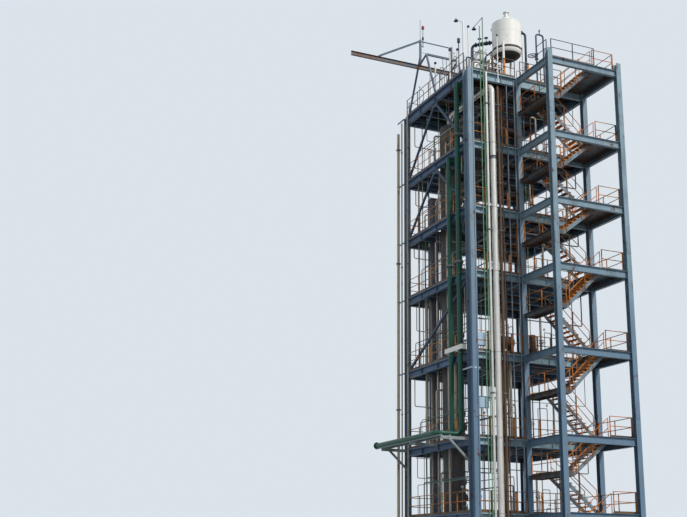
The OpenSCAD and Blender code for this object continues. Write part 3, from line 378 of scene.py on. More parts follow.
def weathered_paint(name, shade, rust, fade, grime, rough=0.55, other=None, front=None, low=None):
    """Paint outdoors: faded in patches, run with dirt, rusted through in spots.

    The other shade covers the most worn stretches. The front shade is painted light: paler paint on
    what stands on the front face, as if lit by the sun. The low shade is painted shade: a deeper blue
    on the storeys near the ground, as if they stood in shade.
    """
    finish = Finish(name, rough)
    base = linear(shade)
    patches = finish.noise(0.45, 4, 0.6)
    runs = finish.noise(9, 4, 0.6, stretch=(1, 1, 0.05), warp=0.3)
    spots = finish.noise(2.6, 7, 0.66, stretch=(1, 1, 0.6))
    grain = finish.noise(70, 2)
    dirt = finish.noise(1.4, 5, 0.6, stretch=(1, 1, 0.3))
    worn = (spots + runs * 0.22).span(0.80 - 0.22 * rust, 0.86 - 0.22 * rust)
    halo = (spots + runs * 0.22).span(0.72 - 0.22 * rust, 0.86 - 0.22 * rust)
    shade_1 = finish.mix(patches.span(0.40, 0.66) * fade, base, scaled(base, 1.45))
    if other:
        shade_1 = finish.mix(finish.noise(0.8, 5, 0.65).span(0.44, 0.60), shade_1, linear(other))
    # Painted shade: towards the ground the paint turns to the deeper low shade, as if in shade.
    if low:
        shade_1 = finish.mix(finish.axis(2).span(20.0, 9.0) * 0.7, shade_1, linear(low))
    # Painted light: on the front face the paint turns to the paler front shade, as if lit by the sun.
    if front:
        shade_1 = finish.mix(finish.axis(1).span(Y_FRONT + 0.4, Y_FRONT + 0.3), shade_1, linear(front))
    shade_2 = finish.mix(dirt.span(0.46, 0.74) * grime, shade_1, scaled(base, 0.42))
    shade_3 = finish.mix(runs.span(0.52, 0.78) * grime, shade_2, (0.10, 0.085, 0.07))
    rusty = linear(settings().paint.rust)
    shade_4 = finish.mix(halo * 0.45, shade_3, scaled(rusty, 1.5))
    finish.set("Base Color", finish.mix(worn * (0.55 + grain * 0.6), shade_4, rusty))
    finish.set("Roughness", worn * 0.3 + grain * 0.12 + (rough - 0.06))
    finish.bump(grain * 0.25 - worn * 1.0 + spots * 0.3, 0.0015)
    return finish.material


def clad_metal(name, shade, dull=0.3):
    """Aluminium cladding: brushed, dented a little and stained."""
    finish = Finish(name, 0.36, 0.55, 0.5)
    base = linear(shade)
    dents = finish.noise(2.2, 3, 0.5)
    stains = finish.noise(6, 5, 0.6, stretch=(1, 1, 0.07))
    patches = finish.noise(0.8, 4, 0.6)
    grain = finish.noise(130, 2, stretch=(1, 1, 0.1))
    shade_1 = finish.mix(patches.span(0.42, 0.7) * dull, base, scaled(base, 0.55))
    finish.set("Base Color", finish.mix(stains.span(0.52, 0.76) * (dull + 0.15), shade_1, (0.16, 0.14, 0.12)))
    finish.set("Roughness", patches * 0.25 + grain * 0.1 + 0.2)
    finish.bump(dents + grain * 0.05, 0.006, 0.6)
    return finish.material


def dark_plate(name, shade):
    """Chequered deck plate: dark, rusty, with raised lozenges."""
    finish = Finish(name, 0.7, 0.0, 0.3)
    base = linear(shade)
    patches = finish.noise(0.7, 6, 0.65)
    grain = finish.noise(40, 3)
    rows = (finish.axis(0) * 90).math("SINE") * (finish.axis(1) * 90).math("SINE")
    rusty = linear(settings().paint.rust)
    shade_1 = finish.mix(patches.span(0.42, 0.62), base, scaled(rusty, 0.75))
    finish.set("Base Color", finish.mix(grain.span(0.4, 0.8) * 0.5, shade_1, scaled(base, 1.7)))
    finish.set("Roughness", grain * 0.3 + 0.5)
    finish.bump(rows.span(0.55, 0.8) + grain * 0.2, 0.002)
    return finish.material


def cast_concrete(name, shade):
    finish = Finish(name, 0.85, 0.0, 0.3)
    base = linear(shade)
    patches = finish.noise(1.3, 6, 0.65)
    pores = finish.cells(45)
    damp = finish.axis(2).span(0.35, 0.0)
    shade_1 = finish.mix(patches.span(0.35, 0.7) * 0.6, base, scaled(base, 0.6))
    finish.set("Base Color", finish.mix(damp * 0.6, shade_1, scaled(base, 0.3)))
    finish.bump(patches + pores.span(0.0, 0.12) * 0.5, 0.004)
    return finish.material


def bare_metal(name, shade, rough=0.45):
    """Galvanised or zinc plated fastenings with a bloom of rust."""
    finish = Finish(name, rough, 0.75, 0.5)
    base = linear(shade)
    spots = finish.noise(9, 5, 0.6)
    grain = finish.noise(200, 2)
    rusty = linear(settings().paint.rust)
    finish.set("Base Color", finish.mix(spots.span(0.5, 0.66) * 0.8, base, rusty))
    finish.set("Roughness", spots * 0.4 + grain * 0.1 + (rough - 0.2))
    finish.bump(grain, 0.0005)
    return finish.material


def make_finishes():
    """All finishes by name, made once."""
    paint = settings().paint
    return {
        # The legs and the stair carry painted shade low down: a deeper blue as if in shade.
        "legs": weathered_paint("faded_leg_blue", paint.legs, 0.22, 0.35, 0.40, low=paint.low),
        # The beams carry painted light on the front face: a paler paint as if sunlit.
        "beams": weathered_paint("beam_blue", paint.beams, 0.25, 0.40, 0.45, front=paint.front),
        "stair": weathered_paint("stair_blue", paint.stair, 0.25, 0.35, 0.45, low=paint.low),
        "stringer": weathered_paint("stringer_steel", scaled(paint.stair, 0.9), 0.45, 0.30, 0.60,
                                    other=paint.brown),
        "landing": weathered_paint("landing_steel", scaled(paint.stair, 0.62), 0.60, 0.30, 0.60,
                                   other=paint.brown),
        "rails": weathered_paint("rail_orange", paint.rails, 0.12, 0.30, 0.40, other=scaled(paint.rim, 0.9)),
        "worn_rails": weathered_paint("rail_worn", paint.rim, 0.30, 0.30, 0.45, other=paint.slate),
        "orange": weathered_paint("post_orange", paint.rails, 0.10, 0.25, 0.30),
        "rim": weathered_paint("rim_orange", paint.rim, 0.45, 0.30, 0.55, other=scaled(paint.deck, 1.5)),
        "ledge": weathered_paint("ledge_grey", paint.ledge, 0.25, 0.35, 0.40),
        "slim": weathered_paint("slim_column_grey", paint.slim, 0.15, 0.35, 0.45),
        "slate": weathered_paint("lifting_frame_slate", paint.slate, 0.20, 0.35, 0.40),
        "runway": weathered_paint("runway_brown", scaled(paint.brown, 1.15), 0.50, 0.35, 0.40,
                                  other=paint.slate),
        "braces": weathered_paint("brace_blue", paint.braces, 0.30, 0.35, 0.40),
        "green": weathered_paint("riser_green", paint.green, 0.12, 0.30, 0.30, 0.42),
        "light_green": weathered_paint("thin_riser_green", paint.light_green, 0.20, 0.30, 0.35),
        "brown": weathered_paint("brown_primer", paint.brown, 0.35, 0.35, 0.45),
        "grey": weathered_paint("pipe_grey", paint.grey, 0.30, 0.35, 0.40),
        "cream": weathered_paint("pipe_cream", paint.cream, 0.30, 0.20, 0.45),
        "drum": weathered_paint("drum_white", paint.drum, 0.03, 0.05, 0.12, 0.40),
        # Dark steel: the gratings' own colour, and painted shade where it darkens the upper deck rims and, in
        # part, the drum's ring.
        "dark": weathered_paint("dark_steel", scaled(paint.deck, 1.4), 0.50, 0.30, 0.30, 0.65),
        "lagging": clad_metal("lagging_aluminium", paint.lagging),
        "cladding": clad_metal("dusty_cladding", paint.cladding, 0.5),
        "column": weathered_paint("column_cladding", paint.column, 0.20, 0.30, 0.50, 0.6),
        "signal_dark": weathered_paint("dark_fittings", scaled(paint.braces, 0.8), 0.15, 0.25, 0.35, 0.5),
        "deck": dark_plate("chequered_plate", paint.deck),
        "concrete": cast_concrete("cast_concrete", paint.concrete),
        "bolts": bare_metal("bolt_steel", scaled(paint.lagging, 0.62)),
        "lamp_glass": weathered_paint("lamp_glass", (0.82, 0.85, 0.86), 0.0, 0.1, 0.2, 0.15),
        "signal_red": weathered_paint("signal_red", (0.62, 0.10, 0.08), 0.1, 0.2, 0.3, 0.35),
        "cabinet": weathered_paint("cabinet_blue", (0.66, 0.76, 0.84), 0.08, 0.2, 0.25, 0.4),
        "tan": weathered_paint("tan_primer", (0.50, 0.42, 0.27), 0.35, 0.3, 0.4),
        "rust": weathered_paint("rusted_line", (0.33, 0.25, 0.20), 0.75, 0.3, 0.5, 0.7),
    }


NODE_FINISHES = {
    "concrete": ["column_plinth", "slim_plinth"],
    "column": ["column_shell", "column_top_head", "column_bottom_head", "column_nozzles"],
    "legs": ["base_plates", "main_legs", "column_skirt"],
    "ledge": ["pipe_ledge"],
    "beams": ["top_beams", "column_guides", "riser_bars"] + [f"floor_beams_{n}" for n in range(1, FLOORS)],
    "braces": ["braces", "pipe_loop"],
    "slim": ["slim_skirt", "slim_shell", "slim_heads"],
    "stair": ["stair_legs", "stair_ties"],
    "stringer": ["stair_stringers"],
    "landing": ["mid_landings", "floor_landings"],
    "deck": ["floor_decks", "top_deck"],
    "rails": ["lower_handrails", "upper_handrails", "stair_rails", "stair_treads"],
    "worn_rails": ["top_handrails"],
    "green": ["green_pipes"],
    "light_green": ["light_green_pipes"],
    "brown": ["brown_pipes", "floor_vessels"],
    "grey": ["grey_pipes", "lightning_rods"],
    "slate": ["gallows"],
    "runway": ["runway_beam"],
    "cream": ["rear_pipes"],
    "cladding": ["column_lines", "floor_lines"],
    "signal_dark": ["drum_lines", "lamps"],
    "drum": ["drum_shell", "drum_top_head", "drum_legs", "drum_nozzle", "vent_pipes", "light_pole"],
    # The drum's ring is a real ring, painted dark partly as painted shade, standing for the shade along the
    # drum's lower edge.
    "dark": ["drum_ring", "drum_bottom_head"],
    "lagging": ["overhead_line", "silver_pipe"],
}
FINISHES = {}


# Shapes


class Shape:
    """Corners and faces of one piece, gathered before its mesh is made."""

    def __init__(self):
        self.points = []
        self.faces = []

    def add(self, points, faces):
        start = len(self.points)
        self.points += [tuple(p) for p in points]
        self.faces += [tuple(start + i for i in face) for face in faces]

    def box(self, low, high):
        x0, y0, z0 = low
        x1, y1, z1 = high
        points = [(x, y, z) for z in (z0, z1) for x, y in ((x0, y0), (x1, y0), (x1, y1), (x0, y1))]
        faces = [(3, 2, 1, 0), (4, 5, 6, 7)] + [(i, (i + 1) % 4, (i + 1) % 4 + 4, i + 4) for i in range(4)]
        self.add(points, faces)

    def extrude(self, outline, offset):
        """A flat outline, counter-clockwise when seen against offset, pushed out by offset."""
        count = len(outline)
        offset = Vector(offset)
        points = [Vector(p) for p in outline] + [Vector(p) + offset for p in outline]
        sides = [(i, (i + 1) % count, (i + 1) % count + count, i + count) for i in range(count)]
        self.add(points, [tuple(reversed(range(count))), tuple(range(count, 2 * count))] + sides)

    def rod(self, start, end, radius, sides=12):
        """A closed round bar from start to end."""
        start, end = Vector(start), Vector(end)
        along = (end - start).normalized()
        across = along.orthogonal().normalized()
        other = along.cross(across)
        spokes = [(across * x + other * y) * radius for x, y in around(sides, 1.0)]
        points = [centre + spoke for centre in (start, end) for spoke in spokes]
        sides_of = [(i, (i + 1) % sides, (i + 1) % sides + sides, i + sides) for i in range(sides)]
        self.add(points, [tuple(reversed(range(sides))), tuple(range(sides, 2 * sides))] + sides_of)

    def lathe(self, centre, outline, sides=24):
        """A closed ring shape: outline is a loop of (radius, height) round the vertical axis of centre."""
        count = len(outline)
        points = [(centre[0] + r * x, centre[1] + r * y, centre[2] + h)
                  for x, y in around(sides, 1.0) for r, h in outline]
        faces = []
        for i in range(sides):
            here, there = i * count, (i + 1) % sides * count
            for j in range(count):
                k = (j + 1) % count
                faces.append((here + j, there + j, there + k, here + k))
        self.add(points, faces)

    def piece(self, name, slot, finish, smooth=None, replaces=()):
        mesh = bpy.data.meshes.new(name)
        mesh.from_pydata(self.points, [], self.faces)
        mesh.materials.append(FINISHES[finish])
        return place(name, mesh, slot, smooth, replaces)


def place(name, mesh, slot, smooth=None, replaces=()):
    """Puts a finished mesh on the body, shaded smooth below an edge angle in degrees."""
    if smooth:
        mesh.shade_smooth()
        mesh.set_sharp_from_angle(angle=math.radians(smooth))
    piece = bpy.data.objects.new(name, mesh)
    bpy.context.scene.collection.objects.link(piece)
    if replaces:
        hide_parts(*replaces)
    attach(piece, "root")
    return piece


# Geometry node trees


def new_tree(name, inputs):
    """A geometry tree with named inputs, its graph, and its input sockets by name."""
    tree = bpy.data.node_groups.new(name, "GeometryNodeTree")
    tree.interface.new_socket("Geometry", in_out="INPUT", socket_type="NodeSocketGeometry")
    for key, (kind, value) in inputs.items():
        socket = tree.interface.new_socket(key, in_out="INPUT", socket_type=kind)
        if value is not None:
            socket.default_value = value
    tree.interface.new_socket("Geometry", in_out="OUTPUT", socket_type="NodeSocketGeometry")
    graph = Graph(tree)
    entry = graph.node("NodeGroupInput")
    return tree, graph, {socket.name: socket for socket in entry.outputs if socket.name}


def end_tree(graph, geometry, material):
    """Ends a tree in Realize Instances and Set Material."""
    real = graph.out("GeometryNodeRealizeInstances", {0: geometry})
    painted = graph.out("GeometryNodeSetMaterial", {"Geometry": real, "Material": material})
    graph.node("NodeGroupOutput", None, {0: painted})


def attribute(graph, name):
    options = {"data_type": "FLOAT_VECTOR"}
    return graph.node("GeometryNodeInputNamedAttribute", options, {"Name": name}).outputs[0]


def vector(graph, x, y, z):
    return graph.out("ShaderNodeCombineXYZ", {0: x, 1: y, 2: z})


def turned(graph):
    return graph.out("FunctionNodeEulerToRotation", {0: attribute(graph, "turn")})


def copies(graph, points, instance, **more):
    """A copy of the instance on every point."""
    sockets = {"Points": points, "Instance": instance, **more}
    return graph.out("GeometryNodeInstanceOnPoints", sockets)


def shifted(graph, solid, at, turn=(0.0, 0.0, 0.0)):
    """The solid, turned and moved to its place."""
    sockets = {"Geometry": solid, "Translation": at, "Rotation": turn}
    return graph.out("GeometryNodeTransform", sockets)


def circle(graph, sides, radius):
    sockets = {"Resolution": sides, "Radius": radius}
    return graph.out("GeometryNodeCurvePrimitiveCircle", sockets)


def swept(graph, curve, profile, caps=False):
    sockets = {"Curve": curve, "Profile Curve": profile, "Fill Caps": caps}
    return graph.out("GeometryNodeCurveToMesh", sockets)


def joined(graph, parts):
    """All parts as one geometry, in their order."""
    join = graph.node("GeometryNodeJoinGeometry")
    for part in parts:
        graph.tree.links.new(part, join.inputs[0])
    return join.outputs[0]


def disc(graph, sides, radius, depth, at, turn=(0.0, 0.0, 0.0)):
    """A short cylinder of a tree, moved and turned to its place."""
    sockets = {"Vertices": sides, "Radius": radius, "Depth": depth}
    return shifted(graph, graph.out("GeometryNodeMeshCylinder", sockets), at, turn)


def hoop(graph, sides, radius, wire, at, turn=(0.0, 0.0, 0.0)):
    """A ring of four-sided wire, moved and turned to its place."""
    return shifted(graph, swept(graph, circle(graph, sides, radius), circle(graph, 4, wire)), at, turn)


FLOAT, COUNT = "NodeSocketFloat", "NodeSocketInt"
MATERIAL = ("NodeSocketMaterial", None)


def bolts_tree():
    """A hexagon head on a washer on every point, standing along the point's turned Z axis."""
    tree, graph, given = new_tree("bolts", {"Head": (FLOAT, 0.032), "Material": MATERIAL})
    head = Number(graph, given["Head"])
    hexagon = disc(graph, 6, head * 0.56, head * 0.42, vector(graph, 0.0, 0.0, head * 0.29))
    washer = disc(graph, 12, head * 0.95, head * 0.1, vector(graph, 0.0, 0.0, head * 0.05))
    bolt = joined(graph, (hexagon, washer))
    end_tree(graph, copies(graph, given["Geometry"], bolt, Rotation=turned(graph)), given["Material"])
    return tree


def tubes_tree():
    """A closed tube along every edge path, its corners rounded."""
    inputs = {"Radius": (FLOAT, 0.02), "Bend": (FLOAT, 0.0), "Sides": (COUNT, 10), "Material": MATERIAL}
    tree, graph, given = new_tree("tubes", inputs)
    path = graph.out("GeometryNodeMeshToCurve", {0: given["Geometry"]})
    sockets = {"Curve": path, "Radius": given["Bend"], "Count": 5, "Limit Radius": True}
    bent = graph.node("GeometryNodeFilletCurve", {"mode": "POLY"}, sockets).outputs[0]
    tube = swept(graph, bent, circle(graph, given["Sides"], given["Radius"]), caps=True)
    end_tree(graph, tube, given["Material"])
    return tree


def bands_tree():
    """Flat bands round a path, a pitch apart."""
    inputs = {"Radius": (FLOAT, 0.2), "Pitch": (FLOAT, 0.9), "Width": (FLOAT, 0.03),
              "Thickness": (FLOAT, 0.004), "Sides": (COUNT, 32), "Material": MATERIAL}
    tree, graph, given = new_tree("bands", inputs)
    path = graph.out("GeometryNodeMeshToCurve", {0: given["Geometry"]})
    sockets = {"Curve": path, "Length": given["Pitch"]}
    marks = graph.node("GeometryNodeCurveToPoints", {"mode": "LENGTH"}, sockets).outputs
    section = {"Width": given["Thickness"], "Height": given["Width"]}
    profile = graph.out("GeometryNodeCurvePrimitiveQuadrilateral", section)
    band = swept(graph, circle(graph, given["Sides"], given["Radius"]), profile)
    placed = copies(graph, marks["Points"], band, Rotation=marks["Rotation"])
    end_tree(graph, placed, given["Material"])
    return tree


def grating_tree():
    """Bearing bars along Y, cross rods along X and a border round every panel, from its low corner."""
    inputs = {
        "Bar Pitch": (FLOAT, 0.041), "Bar Thickness": (FLOAT, 0.005), "Bar Depth": (FLOAT, 0.03),
        "Rod Pitch": (FLOAT, 0.1), "Rod Thickness": (FLOAT, 0.006), "Material": MATERIAL,
    }
    tree, graph, given = new_tree("grating", inputs)
    pitch, bar_t, bar_h, rod_pitch, rod_t = (Number(graph, given[key]) for key in list(inputs)[:5])
    panel = graph.node("ShaderNodeSeparateXYZ", None, {0: attribute(graph, "panel")})
    width, depth = Number(graph, panel.outputs[0]), Number(graph, panel.outputs[1])
    cube = graph.out("GeometryNodeMeshCube")

    def row(count, step, place_of, size):
        sockets = {"Geometry": given["Geometry"], "Amount": count}
        copied = graph.node("GeometryNodeDuplicateElements", {"domain": "POINT"}, sockets)
        index = Number(graph, copied.outputs["Duplicate Index"])
        sockets = {"Geometry": copied.outputs["Geometry"], "Offset": place_of(index * step)}
        moved = graph.out("GeometryNodeSetPosition", sockets)
        return copies(graph, moved, cube, Scale=size)

    spaces = ((width - bar_t) / pitch).math("ROUND")
    gaps = (depth / rod_pitch).math("FLOOR").math("MAXIMUM", 1)
    rows = [
        row(spaces + 1, (width - bar_t) / spaces,
            lambda far: vector(graph, far + bar_t / 2, depth / 2, bar_h * -0.5),
            vector(graph, bar_t, depth, bar_h)),
        row(gaps, depth / gaps,
            lambda far: vector(graph, width / 2, far + depth / gaps / 2, rod_t * -0.5),
            vector(graph, width, rod_t, rod_t)),
        row(2, depth - bar_t,
            lambda far: vector(graph, width / 2, far + bar_t / 2, bar_h * -0.5),
            vector(graph, width, bar_t, bar_h)),
    ]
    end_tree(graph, joined(graph, rows), given["Material"])
    return tree


def union_tree(name, parts_of):
    """A tree that puts a fixed solid on every point, at the point's own turn and size."""
    tree, graph, given = new_tree(name, {"Material": MATERIAL})
    solid = joined(graph, parts_of(graph))
    placed = copies(graph, given["Geometry"], solid, Rotation=turned(graph), Scale=attribute(graph, "size"))
    end_tree(graph, placed, given["Material"])
    return tree


def bar_parts(graph):
    """A bar 1 m long each way."""
    return [graph.out("GeometryNodeMeshCube")]


def flange_parts(graph):
    """A bolted flange pair round a pipe of radius 1, its eight bolts through both plates."""
    parts = [disc(graph, 20, 1.75, 0.28, (0, 0, side * 0.16)) for side in (-1, 1)]
    parts.append(disc(graph, 16, 1.2, 1.1, (0, 0, 0)))
    return parts + [disc(graph, 6, 0.16, 0.96, (x, y, 0)) for x, y in around(8, 1.46, start=0.5)]


def valve_parts(graph):
    """A small gate valve on a pipe of radius 1 that runs along Z, its handwheel toward -X."""
    across = (0.0, math.pi / 2, 0.0)
    wheel_at = (-4.5, 0, 0)
    parts = [disc(graph, 10, 1.9, 0.4, (0, 0, side * 2.0)) for side in (-1, 1)]
    parts.append(graph.out("GeometryNodeMeshIcoSphere", {"Radius": 1.7, "Subdivisions": 2}))
    parts.append(disc(graph, 8, 1.2, 0.5, (-2.0, 0, 0), across))
    parts.append(disc(graph, 6, 0.35, 3.6, (-3.0, 0, 0), across))
    parts.append(hoop(graph, 12, 1.9, 0.24, wheel_at, across))
    spokes = ((0.0, 0.0, 0.0), (math.pi / 2, 0.0, 0.0))
    return parts + [disc(graph, 4, 0.2, 3.8, wheel_at, turn) for turn in spokes]


def gauge_parts(graph):
    """A pressure gauge 0.1 m across that faces -Y on a short stem."""
    flat = (math.pi / 2, 0.0, 0.0)
    return [disc(graph, 16, 0.05, 0.03, (0, 0, 0.12), flat), disc(graph, 6, 0.008, 0.1, (0, 0, 0.04))]


def lamp_parts(graph):
    """A caged bulkhead lamp: cap, glass and guard rings, hanging from its point."""
    parts = [disc(graph, 12, 0.07, 0.07, (0, 0, -0.035)), disc(graph, 12, 0.052, 0.13, (0, 0, -0.13))]
    return parts + [hoop(graph, 10, 0.066, 0.004, (0, 0, z)) for z in (-0.10, -0.16)]


TREES = {}


def grow(name, tree, points, slot, finish, edges=(), attributes=None, inputs=None, smooth=None, replaces=()):
    """Feeds points and edges to a tree and keeps the result as a plain mesh piece."""
    seed_mesh = bpy.data.meshes.new(name + "_seed")
    seed_mesh.from_pydata([tuple(p) for p in points], list(edges), [])
    for key, values in (attributes or {}).items():
        layer = seed_mesh.attributes.new(key, "FLOAT_VECTOR", "POINT")
        layer.data.foreach_set("vector", [c for value in values for c in value])
    seed = bpy.data.objects.new(name + "_seed", seed_mesh)
    bpy.context.scene.collection.objects.link(seed)
    modifier = seed.modifiers.new("tree", "NODES")
    modifier.node_group = TREES[tree]
    values = {"Material": FINISHES[finish], **(inputs or {})}
    for item in TREES[tree].interface.items_tree:
        if item.item_type == "SOCKET" and item.in_out == "INPUT" and item.name in values:
            modifier[item.identifier] = values[item.name]
    bpy.context.view_layer.update()
    mesh = bpy.data.meshes.new_from_object(seed.evaluated_get(bpy.context.evaluated_depsgraph_get()))
    bpy.data.objects.remove(seed)
    bpy.data.meshes.remove(seed_mesh)
    if not mesh.polygons:
        raise RuntimeError(f"{name} came out empty")
    mesh.name = name
    return place(name, mesh, slot, smooth, replaces)


# Pieces gathered place by place


class Paths:
    """Open paths of one pipe size, swept into tubes."""

    def __init__(self):
        self.points, self.edges = [], []

    def add(self, points):
        start = len(self.points)
        self.points += points
        self.edges += [(start + i, start + i + 1) for i in range(len(points) - 1)]

    def finish(self, name, slot, finish, radius, bend=0.0, sides=8, replaces=()):
        inputs = {"Radius": radius, "Bend": bend, "Sides": sides}
        grow(name, "tubes", self.points, slot, finish, edges=self.edges, inputs=inputs, smooth=SMOOTH,
             replaces=replaces)


class Scatter:
    """Places on which a tree puts its solid, each with a turn and a size."""

    def __init__(self):
        self.points, self.turns, self.sizes = [], [], []

    def add(self, point, turn=(0, 0, 0), size=(1, 1, 1)):
        self.points.append(point)
        self.turns.append(turn)
        self.sizes.append(size)

    def finish(self, name, tree, slot, finish, smooth=SMOOTH, replaces=()):
        grow(name, tree, self.points, slot, finish, attributes={"turn": self.turns, "size": self.sizes},
             smooth=smooth, replaces=replaces)


FACING = {
    "up": (0, 0, 0), "front": (math.pi / 2, 0, 0), "back": (-math.pi / 2, 0, 0),
    "left": (0, -math.pi / 2, 0), "right": (0, math.pi / 2, 0),
}


class Fixings:
    """Bolts of one group, each facing one way."""

    def __init__(self):
        self.points, self.turns = [], []

    def add(self, points, facing):
        self.points += points
        self.turns += [FACING[facing]] * len(points)

    def finish(self, name, slot, head):
        inputs = {"Head": head}
        grow(name, "bolts", self.points, slot, "bolts", attributes={"turn": self.turns}, inputs=inputs)


# Decks


def deck_holes(n):
    """Openings of deck n as (x0, x1, y0, y1): the legs and, where they pass, the columns."""
    gap = 0.01

    def hole(x, y, half_x, half_y):
        return x - half_x, x + half_x, y - half_y, y + half_y

    holes = [hole(X_LEFT, Y_FRONT, CORNER_HALF.x + gap, CORNER_HALF.y + gap)]
    if n < FLOORS:
        holes += [hole(x, y, LEG_HALF + gap, LEG_HALF + gap) for x, y in LEG_PLACES]
        holes.append(hole(0, 0, COLUMN_HOLE, COLUMN_HOLE))
        if LEVELS[n] < slim_high.z + 2 * SLIM_R:
            holes.append(hole(0, SLIM_Y, SLIM_HOLE, SLIM_HOLE))
    return holes


def deck_panels(n, widest):
    """Rectangles (x0, x1, y0, y1) that fill deck n round its openings, none wider than widest."""
    x0, x1 = X_LEFT - DECK_EDGE, X_RIGHT + DECK_EDGE
    y0, y1 = Y_FRONT - DECK_EDGE, Y_REAR + DECK_EDGE
    thinnest, narrowest = 0.01, 0.02
    holes = deck_holes(n)
    cuts = sorted({y0, y1} | {min(max(y, y0), y1) for hole in holes for y in hole[2:]})
    panels = []
    for low, high in zip(cuts, cuts[1:]):
        if high - low < thinnest:
            continue
        middle = (low + high) / 2
        inside = sorted(hole for hole in holes if hole[2] < middle < hole[3])
        edges = [x0] + [x for hole in inside for x in hole[:2]] + [x1]
        for a, b in zip(edges[::2], edges[1::2]):
            for left, right in ((a, min(b, X_MID)), (max(a, X_MID), b)):
                count = max(1, math.ceil((right - left) / widest))
                if right - left > narrowest:
                    step = (right - left) / count
                    panels += [(left + i * step, left + (i + 1) * step, low, high) for i in range(count)]
    return panels


def lay_decks():
    """Gratings round the columns, and stiffened chequered plates in the right bay and on the top deck."""
    sizes = settings().deck
    joint, wall, rib_pitch = 0.003, 0.006, 0.45
    plates = Shape()
    corners, panels = [], []
    for n in range(1, FLOORS + 1):
        top, low = LEVELS[n], LEVELS[n] - DECK_T
        under = top - sizes.plate_t
        for x0, x1, y0, y1 in deck_panels(n, sizes.panel):
            if x1 <= X_MID + 0.01 and n < FLOORS:
                corners.append((x0 + joint, y0 + joint, top))
                panels.append((x1 - x0 - 2 * joint, y1 - y0 - 2 * joint, 0))
                continue
            plates.box((x0 + joint, y0 + joint, under), (x1 - joint, y1 - joint, top))
            ribs = max(1, round((y1 - y0) / rib_pitch))
            for i in range(ribs):
                y = y0 + (i + 0.5) * (y1 - y0) / ribs
                plates.box((x0 + 0.02, y, low), (x1 - 0.02, y + wall, under))
            for x in (x0 + joint, x1 - joint - wall):
                plates.box((x, y0 + joint, low), (x + wall, y1 - joint, under))
    inputs = {"Bar Pitch": sizes.bar_pitch, "Bar Thickness": sizes.bar_t, "Bar Depth": sizes.bar_h,
              "Rod Pitch": sizes.rod_pitch, "Rod Thickness": sizes.rod_t}
    grow("deck_gratings", "grating", corners, "floor_decks", "dark", attributes={"panel": panels},
         inputs=inputs, replaces=("floor_decks",))
    plates.piece("deck_plates", "top_deck", "deck", replaces=("top_deck",))


def edge_decks():
    """Edge angles round the decks, which hold the toe plates, and rims round the column openings."""
    worn, dark = Shape(), Shape()
    wall, gap, widest_leg, first_painted_shade_floor = 0.008, 0.01, 0.8, 5
    x0, x1 = X_LEFT - DECK_EDGE, X_RIGHT + DECK_EDGE
    y0, y1 = Y_FRONT - DECK_EDGE, Y_REAR + DECK_EDGE
    for n in range(1, FLOORS + 1):
        # From the fifth floor up the rims take the dark finish: painted shade, the deck edges darkened as if
        # out of the sun.
        rims = worn if n < first_painted_shade_floor else dark
        top, low = LEVELS[n], LEVELS[n] - DECK_T
        for y in (y0, y1 - wall):
            rims.box((X_LEFT + CORNER_HALF.x + gap, y, low), (x1, y + wall, top))
        for x in (x0, x1 - wall):
            rims.box((x, Y_FRONT + CORNER_HALF.y + gap, low), (x + wall, y1, top))
        for left, right, front, rear in deck_holes(n):
            if right - left > widest_leg:
                for y in (front - wall, rear):
                    rims.box((left - wall, y, low), (right + wall, y + wall, top + TOE_HEIGHT))
                for x in (left - wall, right):
                    rims.box((x, front, low), (x + wall, rear, top + TOE_HEIGHT))
    worn.piece("deck_rims", "floor_decks", "rim")
    dark.piece("upper_deck_rims", "floor_decks", "dark")


# Handrails


def floor_runs():
    """Handrail runs of a floor as (start, end, outward), on the centre line of the posts."""
    half = RAIL_T / 2
    left, right = X_LEFT - DECK_EDGE + half, X_RIGHT + DECK_EDGE - half
    front, rear = Y_FRONT - DECK_EDGE + half, Y_REAR + DECK_EDGE - half
    clear = LEG_HALF + 0.01
    return [
        ((left, Y_FRONT + CORNER_HALF.y), (left, Y_REAR - LEG_HALF), (-1, 0)),
        ((X_LEFT + CORNER_HALF.x + 0.01, front), (X_MID - clear, front), (0, -1)),
        ((X_MID + clear, front), (X_FLOOR_EDGE, front), (0, -1)),
        ((right, Y_FRONT + LEG_HALF), (right, Y_REAR - LEG_HALF), (1, 0)),
        ((X_LEFT + clear, rear), (X_MID - clear, rear), (0, 1)),
        ((X_MID + clear, rear), (X_RIGHT - clear, rear), (0, 1)),
    ]


